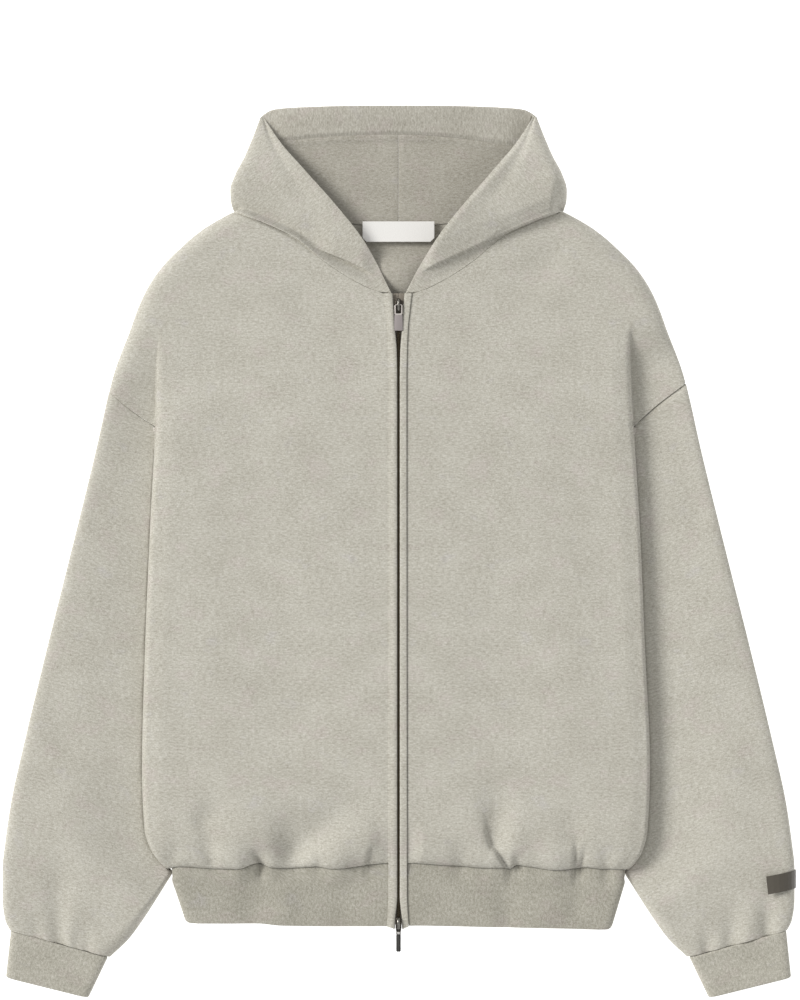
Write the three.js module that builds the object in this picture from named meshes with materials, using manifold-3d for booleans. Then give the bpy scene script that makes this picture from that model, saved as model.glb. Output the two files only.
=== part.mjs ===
import * as THREE from "three";
import Module from "manifold-3d";

// A zip-up hoodie laid flat on its back, in millimetres.
// +Z is up, +Y runs towards the hood and +X is the wearer's left. The origin is the middle of the footprint.

// Cloth thicknesses and the gap left between pieces that are sewn together.
const fleece = 2.5;
const doubledFleece = 3.5;
const ribKnit = 3.5;
const seamGap = 0.3;

// Levels along Y.
const underarmY = 124.5;
const shoulderPointY = 161.5;
const neckFrontY = 258;
const neckBackY = 325.5;
const hoodTopY = 446.5;
const hemSeamY = -311;
const hemY = -374.5;
const foldStartY = 232;

// Heights above the surface that the hoodie lies on.
const bodyLoft = 31;
const sleeveLoft = 23;
const bandLoft = 17;
const cuffLoft = 16;
const sleeveTuckHeight = 6.2;
const ledgeHeight = 7.8;
const sideSeamHeight = 11.4;
const outlineHeight = 7;
const underarmHeight = 6.5;

// Widths over which the puffed cloth rounds down to a seam or an edge.
const hemRound = 36;
const sideRound = 26;
const outlineRound = 34;
const cuffRound = 20;

// The waistband's half width at its opening and at the hem seam.
const bandWidth = 227;
const bandSeamWidth = 212;

// Corners of a cuff, seen from above: its seam with the sleeve and its opening.
const cuffSeam = { innerX: 291, innerY: -406, outerX: 388, outerY: -379 };
const cuffOpening = { innerX: 310.5, innerY: -446.5, outerX: 393, outerY: -426 };

// Below this level the sleeve's inner edge comes out from under the body.
const sleeveShowsY = -321;
const sleeveLength = 530;

// The band inside the hood's top edge and the neck label.
const facingWidth = 29;
const facingReach = 127;
const facingThickness = 2.2;
const labelHalfWidth = 36;
const labelHeight = 20.6;
const labelThickness = 0.6;

// The zip's parts lie along the front's centre.
const zipBottomY = -371;
const zipTopY = 238;
const tapeThickness = 0.7;
const weltThickness = 3.6;
const teethHeight = 2;
const teethHalfWidth = 1.6;
const weltLift = 1.2;
const sliderTopY = 245.5;
const sliderBottomY = -371.9;
const tagThickness = 1;

// Sizes of the sliders and their pulls.
const sliderPlate = { width: 6.6, length: 14.4, height: 2.2 };
const bridge = { width: 1.8, inner: 1.45, outer: 2.6 };
const pullThickness = 1.4;
const topPull = { loopWidth: 8.2, loopLength: 8.8, window: 5.2, windowLength: 7.7, tabWidth: 8.4, length: 25.4 };
const bottomPull = { loopWidth: 5.2, loopLength: 10.3, window: 3, windowLength: 8.4, tabWidth: 5, length: 27.5 };

// Half widths of the body at its side seams, on the wearer's left and right.
const bodySides = [
  { y: 232, left: 231, right: 237 },
  { y: 182, left: 232.5, right: 241.5 },
  { y: 122, left: 235.5, right: 243.5 },
  { y: 22, left: 241.5, right: 248.5 },
  { y: -98, left: 246.5, right: 253.5 },
  { y: -218, left: 251.5, right: 256.5 },
  { y: -278, left: 249, right: 254 },
  { y: -298, left: 244.5, right: 247.5 },
  { y: -312, left: 236, right: 237.5 },
  { y: -321, left: 227, right: 227 },
];

// How far the sleeve's inner edge is tucked under the body's side.
const sleeveTucks = [
  { y: 125, tuck: 0 },
  { y: 105, tuck: 0.5 },
  { y: 60, tuck: 15 },
  { y: 0, tuck: 22 },
  { y: -240, tuck: 24 },
  { y: -285, tuck: 15 },
  { y: -300, tuck: 8 },
  { y: -312, tuck: 2 },
  { y: -321, tuck: -2.5 },
];

// The sleeve's inner edge below the hem, where it shows.
const sleeveInnerEdges = [
  { y: -321, x: 229.5 },
  { y: -329, x: 232.5 },
  { y: -349, x: 244 },
  { y: -369, x: 256.5 },
  { y: -389, x: 271 },
  { y: -406, x: 289 },
];

// The outline from the neck along the shoulder and down the sleeve's outer edge.
const outline = [
  { y: 346, x: 148 },
  { y: 338.5, x: 165 },
  { y: 321.5, x: 196.5 },
  { y: 301.5, x: 220.5 },
  { y: 281.5, x: 239.5 },
  { y: 261.5, x: 252.5 },
  { y: 241.5, x: 261.5 },
  { y: 221.5, x: 268.5 },
  { y: 181.5, x: 283 },
  { y: 161.5, x: 288.5 },
  { y: 101.5, x: 302.5 },
  { y: 1.5, x: 327.5 },
  { y: -98.5, x: 352.5 },
  { y: -198.5, x: 376.5 },
  { y: -248.5, x: 387.5 },
  { y: -288.5, x: 393.5 },
  { y: -318.5, x: 396.5 },
  { y: -348.5, x: 396.5 },
  { y: -368.5, x: 394 },
  { y: -380, x: 388.5 },
];

// The neck seam from the zip to the outline, in front.
const neckFront = [
  { x: 6, y: 257.6 },
  { x: 17, y: 258.5 },
  { x: 41.5, y: 268.5 },
  { x: 74.5, y: 289.5 },
  { x: 100.5, y: 311 },
  { x: 132, y: 326 },
  { x: 165, y: 338.5 },
];

// The hood's opening edge and its outer fold, from the neck to the top corner.
const hoodEdges = [
  { u: 0, edgeX: 7, edgeY: 259.5, edgeZ: 27, foldX: 165, foldY: 339, foldZ: 7 },
  { u: 0.15, edgeX: 20, edgeY: 286, edgeZ: 33, foldX: 167.5, foldY: 352, foldZ: 8 },
  { u: 0.3, edgeX: 36, edgeY: 313, edgeZ: 41, foldX: 167, foldY: 363, foldZ: 9 },
  { u: 0.5, edgeX: 62, edgeY: 346, edgeZ: 46, foldX: 162, foldY: 379, foldZ: 9 },
  { u: 0.7, edgeX: 92, edgeY: 382, edgeZ: 42, foldX: 153, foldY: 397, foldZ: 8 },
  { u: 0.85, edgeX: 114, edgeY: 409, edgeZ: 30, foldX: 146, foldY: 413, foldZ: 6 },
  { u: 1, edgeX: 132, edgeY: 437, edgeZ: 8.2, foldX: 137, foldY: 439.5, foldZ: 4.1 },
];

// The welts that cover the zip's tapes, from the neck to the hem.
const weltEdges = [
  { y: 258, inner: 5.4, outer: 13.8 },
  { y: 226, inner: 4.6, outer: 12.4 },
  { y: 198, inner: 2.6, outer: 9.6 },
  { y: 170, inner: 1.9, outer: 8.7 },
  { y: -345, inner: 1.9, outer: 8.9 },
  { y: -363, inner: 3.7, outer: 10.4 },
  { y: -375, inner: 4.1, outer: 10.8 },
];

// Gathers where the fleece meets the waistband: place, depth, width, reach up the body and lean.
const hemGathers = [
  { x: -214, depth: 3, width: 10, reach: 34, lean: -0.2 },
  { x: -172, depth: 2.5, width: 10, reach: 26, lean: 0.2 },
  { x: -138, depth: 4.5, width: 9, reach: 30, lean: -0.5 },
  { x: -116, depth: 5, width: 18, reach: 62, lean: 0.1 },
  { x: -72, depth: 2, width: 10, reach: 24, lean: 0.3 },
  { x: -29, depth: 4, width: 11, reach: 66, lean: -0.2 },
  { x: 53, depth: 2.5, width: 11, reach: 34, lean: 0.2 },
  { x: 107, depth: 7, width: 11, reach: 72, lean: -0.45 },
  { x: 134, depth: 3, width: 11, reach: 26, lean: 0.1 },
  { x: 178, depth: 5, width: 10, reach: 38, lean: -0.1 },
  { x: 206, depth: 3, width: 10, reach: 26, lean: 0.3 },
];

// Gathers above the cuffs: which sleeve, place across it, depth, width and reach.
const cuffGathers = [
  { side: -1, across: 0.22, depth: 3, width: 9, reach: 36 },
  { side: -1, across: 0.5, depth: 4.5, width: 10, reach: 56 },
  { side: -1, across: 0.74, depth: 2.5, width: 9, reach: 30 },
  { side: 1, across: 0.28, depth: 3, width: 10, reach: 40 },
  { side: 1, across: 0.55, depth: 3, width: 9, reach: 32 },
  { side: 1, across: 0.8, depth: 4.5, width: 9, reach: 44 },
];

// Places along the neck seam where the front panels' rows and the hood's columns meet.
const neckStations = [17, 36, 55, 75, 94, 113, 132, 148, 159, 164];

// Levels of the body panels' rows below the neck.
const bodyLevels = [
  -311, -307, -301, -293, -282, -266, -245, -215, -165, -110, -55, 0, 50, 84, 105, 124.5, 137, 149, 161.5, 176, 192,
  208, 224, 242, 257.8,
];

// The front's outer columns: distance inside the side seam, or from the fold at the drop shoulder.
const frontColumns = [
  { below: 26, beforeFold: 24, beyondFold: 0 },
  { below: 17, beforeFold: 13, beyondFold: 0 },
  { below: 10.5, beforeFold: 5.5, beyondFold: 0 },
  { below: 6, beforeFold: 0.8, beyondFold: 0 },
  { below: 3.2, beforeFold: 0, beyondFold: 0.14 },
  { below: 1.5, beforeFold: 0, beyondFold: 0.42 },
  { below: 0.5, beforeFold: 0, beyondFold: 0.7 },
  { below: 0.12, beforeFold: 0, beyondFold: 0.91 },
  { below: 0, beforeFold: 0, beyondFold: 1 },
];

// The back's outer columns: distances inside the side.
const backInsets = [62, 47, 37, 27, 15, 7, 2.6, 0.6, 0];

// Grid sizes.
const frontPlainColumns = 9;
const backPlainColumns = 3;
const sleeveRows = 17;
const tubeColumns = 11;
const hoodRows = 12;

// Levels of the rows along the zip.
const zipLevels = [
  -374.5, -371, -363, -354, -345, -330, -318, -311, -309, -306, -301, -294, -284, -266, -240, -190, -110, -30, 60, 140,
  170, 184, 198, 212, 226, 238, 248, 257.6,
];

const clamp01 = (value) => Math.min(1, Math.max(0, value));
const mix = (a, b, part) => a + (b - a) * part;
const smooth = (part) => clamp01(part) ** 2 * (3 - 2 * clamp01(part));

// A quarter round: 0 with an upright start, 1 once the distance reaches the radius.
const dome = (part) => Math.sqrt(1 - (1 - clamp01(part)) ** 2);

// A smooth curve through a table's rows, read from one column to another.
function through(rows, from, to) {
  const sorted = [...rows].sort((a, b) => a[from] - b[from]);
  const xs = sorted.map((row) => row[from]);
  const ys = sorted.map((row) => row[to]);
  const steps = xs.slice(1).map((x, i) => (ys[i + 1] - ys[i]) / (x - xs[i]));
  const slopes = xs.map((x, i) => {
    const before = steps[Math.max(0, i - 1)];
    const after = steps[Math.min(steps.length - 1, i)];
    return before * after <= 0 ? 0 : (2 * before * after) / (before + after);
  });
  return (x) => {
    if (x <= xs[0]) return ys[0] + (x - xs[0]) * slopes[0];
    const last = xs.length - 1;
    if (x >= xs[last]) return ys[last] + (x - xs[last]) * slopes[last];
    const i = xs.findIndex((value) => value > x) - 1;
    const span = xs[i + 1] - xs[i];
    const t = (x - xs[i]) / span;
    const a = ys[i] * (1 + 2 * t) * (1 - t) ** 2 + slopes[i] * span * t * (1 - t) ** 2;
    const b = ys[i + 1] * t * t * (3 - 2 * t) + slopes[i + 1] * span * t * t * (t - 1);
    return a + b;
  };
}

const bodySide = { 1: through(bodySides, "y", "left"), "-1": through(bodySides, "y", "right") };
const tuckAt = through(sleeveTucks, "y", "tuck");
const innerEdgeAt = through(sleeveInnerEdges, "y", "x");
const outlineAt = through(outline, "y", "x");
const neckFrontAt = through(neckFront, "x", "y");
const neckFrontX = through(neckFront, "y", "x");
const weltInner = through(weltEdges, "y", "inner");
const weltOuter = through(weltEdges, "y", "outer");
const hoodAt = Object.fromEntries(
  ["edgeX", "edgeY", "edgeZ", "foldX", "foldY", "foldZ"].map((key) => [key, through(hoodEdges, "u", key)]),
);

const seamYAt = (x) => hemSeamY - 7 * clamp01(Math.abs(x) / 190);
const bandSideAt = (y) => mix(bandSeamWidth, bandWidth, 1 - clamp01((hemSeamY - 6 - y) / 57) ** 2);

// Even steps from 0 to 1.
const evenSteps = (count) => Array.from({ length: count + 1 }, (_, i) => i / count);

// A wall of cloth: face(u, v) is its outer side, and the inner side lies behind it by the thickness.
function wall(face, us, vs, thickness, closed = false) {
  const step = 1e-4;
  const points = [];
  const backs = [];
  for (const u of us) {
    for (const v of vs) {
      const point = face(u, v);
      const u0 = closed ? u - step : Math.max(0, u - step);
      const u1 = closed ? u + step : Math.min(1, u + step);
      const alongU = face(u1, v).sub(face(u0, v));
      const alongV = face(u, Math.min(1, v + step)).sub(face(u, Math.max(0, v - step)));
      const normal = alongU.cross(alongV).normalize();
      points.push(point);
      backs.push(point.clone().addScaledVector(normal, -thickness));
    }
  }
  const rows = vs.length;
  const count = us.length;
  const quads = [];
  const at = (i, j) => (i % count) * rows + j;
  const back = (i, j) => points.length + at(i, j);
  const lastColumn = closed ? count : count - 1;
  for (let i = 0; i < lastColumn; i += 1) {
    for (let j = 0; j < rows - 1; j += 1) {
      quads.push([at(i, j), at(i + 1, j), at(i + 1, j + 1), at(i, j + 1)]);
      quads.push([back(i, j), back(i, j + 1), back(i + 1, j + 1), back(i + 1, j)]);
    }
    quads.push([at(i + 1, 0), at(i, 0), back(i, 0), back(i + 1, 0)]);
    quads.push([at(i, rows - 1), at(i + 1, rows - 1), back(i + 1, rows - 1), back(i, rows - 1)]);
  }
  if (!closed) {
    for (let j = 0; j < rows - 1; j += 1) {
      quads.push([at(0, j), at(0, j + 1), back(0, j + 1), back(0, j)]);
      quads.push([at(lastColumn, j + 1), at(lastColumn, j), back(lastColumn, j), back(lastColumn, j + 1)]);
    }
  }
  const geometry = new THREE.BufferGeometry().setFromPoints([...points, ...backs]);
  geometry.setIndex(quads.flatMap(([a, b, c, d]) => [a, b, c, a, c, d]));
  return geometry;
}

// The same geometry on the wearer's right, with its faces still pointing out.
function mirrored(geometry) {
  geometry.scale(-1, 1, 1);
  const index = geometry.index.array;
  for (let i = 0; i < index.length; i += 3) {
    const first = index[i];
    index[i] = index[i + 1];
    index[i + 1] = first;
  }
  return geometry;
}

const handed = (geometry, side) => (side < 0 ? mirrored(geometry) : geometry);

// Distance to the outline from a point inside it.
function outlineDistance(x, y) {
  const slope = (outlineAt(y + 1) - outlineAt(y - 1)) / 2;
  return (outlineAt(y) - x) / Math.hypot(1, slope);
}

// The armhole seam runs from the underarm to the shoulder point.
function armholeAt(y, side) {
  const part = (y - underarmY) / (shoulderPointY - underarmY);
  return mix(bodySide[side](underarmY), outlineAt(shoulderPointY), part);
}

// Half width of a body panel: body side, then armhole seam, then shoulder.
function panelSide(y, side) {
  if (y >= shoulderPointY) return outlineAt(y);
  if (y <= underarmY) return bodySide[side](y);
  return armholeAt(y, side) - 5 * seamGap;
}

// Depth of the gathers at a point of the front.
function gatherDepth(x, y) {
  return hemGathers.reduce((sum, gather) => {
    const rise = y - seamYAt(x);
    const offset = (x - gather.x - gather.lean * rise) / gather.width;
    return sum + gather.depth * Math.exp(-offset * offset) * Math.exp(-((rise / gather.reach) ** 2));
  }, 0);
}

// Height of the plain body, before it meets a side or the outline.
function bodyCrown(x, y, side) {
  const centre = bodyLoft + 1.5 * smooth((120 - y) / 300) - 5 * smooth((y - 120) / 150);
  const plain = centre - 3.5 * (x / 250) ** 2;
  const hem = dome((y - seamYAt(x)) / hemRound);
  return mix(bandLoft, plain, hem) - gatherDepth(side * x, y);
}

const sideHeightAt = (y) => mix(underarmHeight, sideSeamHeight, smooth((underarmY - y) / 22));

// Height of the upper side of the front panels, and of the sleeves near the armhole.
function topHeight(x, y, side) {
  const fold = bodySide[side](Math.min(y, foldStartY));
  const crown = bodyCrown(x, y, side);
  if (y <= underarmY && x <= fold + 0.01) {
    const edge = sideHeightAt(y);
    return mix(edge, crown, dome((fold - x) / sideRound));
  }
  const toOutline = outlineDistance(x, y);
  const open = mix(outlineHeight, crown, dome(toOutline / outlineRound));
  const valley = 8 - 1.5 * smooth((y - 100) / -60);
  const arm = mix(valley, sleeveLoft, smooth((x - fold) / 52));
  const outside = mix(outlineHeight, arm, dome(toOutline / sideRound));
  const inside = mix(valley, crown, dome((fold - x) / 18));
  const folded = x < fold ? inside : outside;
  return mix(open, folded, smooth((foldStartY - y) / (foldStartY - underarmY)));
}

// Reads a list at a part from 0 to 1, straight between its entries.
function readAt(list, part) {
  const place = clamp01(part) * (list.length - 1);
  const i = Math.min(list.length - 2, Math.floor(place));
  return mix(list[i], list[i + 1], place - i);
}

// Rows of a body panel, from the hem seam to the shoulder at the neck.
const panelLevels = [...bodyLevels, ...neckStations.map(neckFrontAt)];

// The hem seam dips towards the sides, and the rows above it level out.
const hemDrop = (x, level) => (seamYAt(x) + seamGap - hemSeamY) * (1 - smooth((level - hemSeamY) / 70));

// The front's columns at a level, from the zip and neck to the side.
function frontPlaces(level, side) {
  const neckX = level > neckFrontY ? neckFrontX(level) + seamGap : 0;
  const inner = Math.max(weltOuter(Math.min(level, neckFrontY)) + seamGap, neckX);
  const outer = panelSide(level + hemDrop(bandWidth, level), side);
  const fold = bodySide[side](Math.min(level, foldStartY));
  const folded = smooth((level - underarmY) / 12) * (1 - smooth((level - 212) / 34));
  const room = Math.min(1, (outer - inner) / 44);
  const places = frontColumns.map(({ below, beforeFold, beyondFold }) => {
    const plain = outer - below * room;
    return mix(plain, fold - beforeFold + beyondFold * (outer - fold), folded);
  });
  const lead = evenSteps(frontPlainColumns).slice(0, -1).map((part) => mix(inner, places[0], part));
  return [...lead, ...places];
}

// The front panel on one side, from the zip to the side seam and from the hem seam to the shoulder.
function frontFace(side) {
  return (u, v) => {
    const level = readAt(panelLevels, v);
    const x = readAt(frontPlaces(level, side), u);
    const y = level + hemDrop(x, level);
    const lift = (1 - smooth((1 - u) / 0.06)) * 3 * seamGap;
    return new THREE.Vector3(x, y, topHeight(x, y, side) + lift);
  };
}

// Rise of the back's underside where the tucked sleeve lies below it, and along its edges.
function undersideHeight(x, y, side) {
  if (y > underarmY) {
    const toOutline = Math.max(0, outlineDistance(x, y));
    const toUnderarm = Math.hypot(x - bodySide[side](underarmY), y - underarmY);
    const edge = outlineHeight * (1 - dome(toOutline / 14));
    return Math.max(edge, underarmHeight * (1 - dome(toUnderarm / 9)));
  }
  const width = bodySide[side](y);
  const under = width - Math.max(0, tuckAt(y)) - 2;
  const ends = smooth((underarmY - y) / 20) * smooth((y + 320) / 12);
  const ledge = ledgeHeight * ends * smooth((x - under + 22) / 20);
  return mix(sideHeightAt(y), ledge, dome((width - x) / 7));
}

// Rows of the back: fewer than in front, because it lies flat.
const backLevels = panelLevels.filter((level, i) => {
  const nearArmhole = level > 90 && level < 170;
  return i % 2 === 0 || level < -200 || nearArmhole || level > 330;
});

// The back panel, from side to side and from the shoulders to the hem seam.
function backFace(u, v) {
  const level = readAt(backLevels, 1 - v);
  const side = u < 0.5 ? -1 : 1;
  const outer = panelSide(level + hemDrop(bandWidth, level), side);
  const places = backInsets.map((inset) => outer - inset);
  const lead = evenSteps(backPlainColumns).slice(0, -1).map((part) => part * places[0]);
  const x = readAt([...lead, ...places], Math.abs(2 * u - 1));
  const neckDip = (neckBackY - panelLevels.at(-1)) * smooth((level - 240) / 98) * (1 - smooth(x / 160));
  const edge = smooth((Math.abs(2 * u - 1) - 0.8) / 0.2);
  const y = level + hemDrop(x, level);
  const z = undersideHeight(x, y, side) - seamGap * edge;
  return new THREE.Vector3(side * x, y + neckDip, Math.max(0, z));
}

// A flattened sleeve: u runs over the top from the inner to the outer edge and back beneath.
function sleeveFace(side) {
  return (around, along) => {
    const u = (around + 1) % 1;
    const onTop = u < 0.5;
    const half = onTop ? 2 * u : 2 - 2 * u;
    const across = 0.5 - 0.5 * Math.cos(Math.PI * half);
    const t = 1 - along;
    const outerY = mix(shoulderPointY, cuffSeam.outerY, t) - seamGap * (1 - t);
    const innerY = mix(underarmY, cuffSeam.innerY, t) - seamGap * (1 - t);
    const hidden = bodySide[side](innerY) - tuckAt(innerY);
    const innerX = innerY > sleeveShowsY ? hidden : innerEdgeAt(innerY);
    const outerX = outlineAt(outerY);
    const x = mix(innerX, outerX, across);
    const y = mix(innerY, outerY, across);
    const width = Math.hypot(outerX - innerX, outerY - innerY);
    const toInner = across * width;
    const toOuter = (1 - across) * width;
    const leaving = smooth(t / 0.06);
    const arriving = smooth((t - 0.86) / 0.12);
    const innerHeight = mix(mix(underarmHeight, 3.1, leaving), outlineHeight, arriving);
    const middle = mix(innerHeight, outlineHeight, across);
    const rim = dome(toInner / mix(5, 22, arriving)) * dome(toOuter / sideRound);
    if (!onTop) {
      const flat = dome(toInner / 9) * dome(toOuter / 13);
      return new THREE.Vector3(x, y, middle * (1 - flat));
    }
    const bodyEdge = y > sleeveShowsY ? bodySide[side](y) : bandWidth + 1.2 * (y - sleeveShowsY);
    const plain = mix(sleeveTuckHeight, sleeveLoft, smooth((x - bodyEdge) / 52));
    const toCuff = (1 - t) * sleeveLength;
    const folds = cuffGathers
      .filter((gather) => gather.side === side)
      .reduce((sum, gather) => {
        const offset = ((across - gather.across) * width) / gather.width;
        return sum + gather.depth * Math.exp(-offset * offset) * Math.exp(-((toCuff / gather.reach) ** 2));
      }, 0);
    const full = mix(cuffLoft, plain, dome(toCuff / 34)) - folds;
    const own = mix(middle, full, rim);
    const shared = Math.max(middle, topHeight(x, y, side));
    const z = mix(shared, own, smooth(t / 0.05));
    return new THREE.Vector3(x, y, z);
  };
}

// A cuff: a short flattened tube from its opening to the seam with the sleeve.
function cuffFace(around, along) {
  const u = (around + 1) % 1;
  const onTop = u < 0.5;
  const half = onTop ? 2 * u : 2 - 2 * u;
  const across = 0.5 - 0.5 * Math.cos(Math.PI * half);
  const innerX = mix(cuffOpening.innerX, cuffSeam.innerX, along);
  const innerY = mix(cuffOpening.innerY, cuffSeam.innerY - seamGap, along);
  const outerX = mix(cuffOpening.outerX, cuffSeam.outerX, along);
  const outerY = mix(cuffOpening.outerY, cuffSeam.outerY - seamGap, along);
  const x = mix(innerX, outerX, across);
  const y = mix(innerY, outerY, across);
  const width = Math.hypot(outerX - innerX, outerY - innerY);
  const nearEdge = Math.min(across, 1 - across) * width;
  const middle = cuffLoft / 2;
  const round = dome(nearEdge / cuffRound);
  return new THREE.Vector3(x, y, onTop ? mix(middle, cuffLoft, round) : middle * (1 - dome(nearEdge / 14)));
}

// The waistband: from the zip over the wearer's left side, under the back and up to the zip again.
function waistbandFace(around, along) {
  const front = 0.27;
  const onLeft = around <= 0.5;
  const side = onLeft ? 1 : -1;
  const turn = onLeft ? around : 1 - around;
  const level = mix(hemY, hemSeamY - 3 * seamGap, along);
  const width = bandSideAt(level);
  const inner = weltOuter(level) + 3 * seamGap;
  const onTop = turn < front;
  const topPart = Math.sin((Math.PI / 2) * clamp01(turn / front));
  const lowPart = Math.cos((Math.PI / 2) * clamp01((turn - front) / (0.5 - front)));
  const x = onTop ? mix(inner, width, topPart) : width * lowPart;
  const sag = (seamYAt(x) - hemSeamY) * along;
  const middle = bandLoft / 2 - 1;
  const z = onTop ? mix(middle, bandLoft, dome((width - x) / 20)) : middle * (1 - dome((width - x) / 16));
  return new THREE.Vector3(side * x, level + sag, z);
}

// The hood's back layer lifts a little towards the top edge.
const hoodLift = (x, y) => 8 * smooth((y - 408) / 40) * (1 - clamp01(x / 128) ** 2);

// Shares of the way from the opening edge to the outer fold, in step with the front's rows at the neck.
const flapWidth = hoodEdges[0].foldX - hoodEdges[0].edgeX;
const hoodParts = [0, ...neckStations.map((x) => (x - hoodEdges[0].edgeX) / flapWidth), 1];

// The share of the half hood's columns that lies over its outer fold.
const hoodFolding = 0.56;

// How far the neck seam lies from the straight line between its ends.
function neckBow(across) {
  const first = hoodEdges[0];
  const seamY = neckFrontAt(mix(first.edgeX, first.foldX, across)) + 2 * seamGap;
  return seamY - mix(first.edgeY, first.foldY, across);
}

// Half a hood: from the opening edge over the side, round the outer fold and back beneath to the centre seam.
function hoodFace(side) {
  return (around, along) => {
    const edge = new THREE.Vector2(hoodAt.edgeX(along), hoodAt.edgeY(along));
    const fold = new THREE.Vector2(hoodAt.foldX(along), hoodAt.foldY(along));
    const middle = hoodAt.foldZ(along);
    if (around <= hoodFolding) {
      const across = readAt(hoodParts, around / hoodFolding);
      const point = edge.clone().lerp(fold, across);
      point.y += neckBow(across) * (1 - clamp01(along / 0.25));
      const toFold = fold.distanceTo(point);
      const tent = mix(hoodAt.edgeZ(along), 0.72 * hoodAt.edgeZ(along) + 4, across);
      const crease = 4 * Math.exp(-(((along - 0.1) / 0.06) ** 2)) * Math.sin(Math.PI * across);
      const own = mix(middle, tent - crease, dome(toFold / 26));
      const z = mix(topHeight(point.x, point.y - seamGap, side), own, smooth(along / 0.14));
      return new THREE.Vector3(point.x, point.y, Math.max(z, middle));
    }
    const inward = 1 - Math.cos((Math.PI / 2) * ((around - hoodFolding) / (1 - hoodFolding)));
    const x = mix(fold.x, seamGap / 2, inward);
    const centreY = mix(neckBackY + 2 * seamGap, hoodTopY, along);
    const bow = mix(smooth(x / 160), (x / fold.x) ** 2, along);
    const y = mix(centreY, fold.y, bow);
    const lift = hoodLift(x, y);
    return new THREE.Vector3(x, y, mix(middle, lift, dome((fold.x - x) / 11)));
  };
}

// A bare neck label, sewn into the back neck seam and lying over the back.
function labelFace(u, v) {
  const x = mix(-labelHalfWidth, labelHalfWidth, u);
  const y = neckBackY + 3.6 - labelHeight * (1 - v);
  return new THREE.Vector3(x, y, doubledFleece + 1.1 + 0.5 * Math.cos(x / 18));
}

// The turned band inside the hood's top edge.
function facingFace(u, v) {
  const y = mix(hoodTopY - facingWidth, hoodTopY - 0.8, v) - 5 * (2 * u - 1) ** 2;
  const reach = facingReach - 12 * (1 - v);
  const x = (2 * u - 1) * reach;
  return new THREE.Vector3(x, y, hoodLift(Math.abs(x), y) + doubledFleece + 3);
}

// Height of the front's centre, which runs smoothly over the hem seam.
const centreHeight = (y) => mix(bandLoft, bodyCrown(0, Math.max(y, -250), 1), smooth((y + 324) / 62));

function centreStrip(innerAt, outerAt, lift, bottom, top, thickness) {
  const levels = zipLevels.filter((y) => y >= bottom && y <= top);
  const face = (u, v) => {
    const y = readAt(levels, v);
    return new THREE.Vector3(mix(innerAt(y), outerAt(y), u), y, centreHeight(y) + lift);
  };
  return wall(face, [0, 1], evenSteps(levels.length - 1), thickness);
}

// A bare tag sewn round the left sleeve's outer edge: the sleeve's own surface, moved out.
function tagFace(u, v) {
  const sleeve = sleeveFace(1);
  const around = mix(0.355, 0.512, u);
  const along = mix(0.0785, 0.112, v);
  const step = 1e-3;
  const point = sleeve(around, along);
  const alongU = sleeve(around + step, along).sub(sleeve(around - step, along));
  const alongV = sleeve(around, along + step).sub(sleeve(around, along - step));
  return point.addScaledVector(alongU.cross(alongV).normalize(), 2 * seamGap + tagThickness);
}

function slab(shape, height, z) {
  const options = { depth: height, bevelEnabled: false, curveSegments: 6 };
  return new THREE.ExtrudeGeometry(shape, options).translate(0, 0, z);
}

const wasm = await Module();
wasm.setup();

function toSolid(geometry) {
  const merged = new Map();
  const vertices = [];
  const source = geometry.index ? geometry.toNonIndexed() : geometry;
  const places = source.attributes.position;
  const triangles = new Uint32Array(places.count);
  for (let i = 0; i < places.count; i += 1) {
    const point = [places.getX(i), places.getY(i), places.getZ(i)].map((value) => Math.fround(value));
    const key = point.map((value) => value.toFixed(4)).join();
    if (!merged.has(key)) {
      merged.set(key, vertices.length / 3);
      vertices.push(...point);
    }
    triangles[i] = merged.get(key);
  }
  const mesh = new wasm.Mesh({ numProp: 3, vertProperties: new Float32Array(vertices), triVerts: triangles });
  return new wasm.Manifold(mesh);
}

function joined(geometries) {
  const solid = geometries.map(toSolid).reduce((whole, part) => whole.add(part));
  const mesh = solid.getMesh();
  const geometry = new THREE.BufferGeometry();
  geometry.setAttribute("position", new THREE.BufferAttribute(new Float32Array(mesh.vertProperties), 3));
  geometry.setIndex([...mesh.triVerts]);
  return geometry;
}

// A slider: a tapered plate with an arched bridge round the pull's bar, which lies at the group's origin.
function sliderGeometry() {
  const { width, length, height } = sliderPlate;
  const plate = new THREE.Shape([
    new THREE.Vector2(-width / 2, length / 2 - 1.5),
    new THREE.Vector2(-width * 0.36, -length / 2),
    new THREE.Vector2(width * 0.36, -length / 2),
    new THREE.Vector2(width / 2, length / 2 - 1.5),
    new THREE.Vector2(width * 0.3, length / 2),
    new THREE.Vector2(-width * 0.3, length / 2),
  ]);
  const arch = new THREE.Shape();
  arch.moveTo(bridge.outer, -bridge.inner - 0.4);
  arch.lineTo(bridge.outer, 0);
  arch.absarc(0, 0, bridge.outer, 0, Math.PI, false);
  arch.lineTo(-bridge.outer, -bridge.inner - 0.4);
  arch.lineTo(-bridge.inner, -bridge.inner - 0.4);
  arch.lineTo(-bridge.inner, 0);
  arch.absarc(0, 0, bridge.inner, Math.PI, 0, true);
  arch.lineTo(bridge.inner, -bridge.inner - 0.4);
  const options = { depth: bridge.width, bevelEnabled: false, curveSegments: 8 };
  const upright = new THREE.ExtrudeGeometry(arch, options).translate(0, 0, -bridge.width / 2);
  upright.rotateX(Math.PI / 2).rotateZ(Math.PI / 2);
  return joined([slab(plate, height, -bridge.inner - height), upright]);
}

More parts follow.
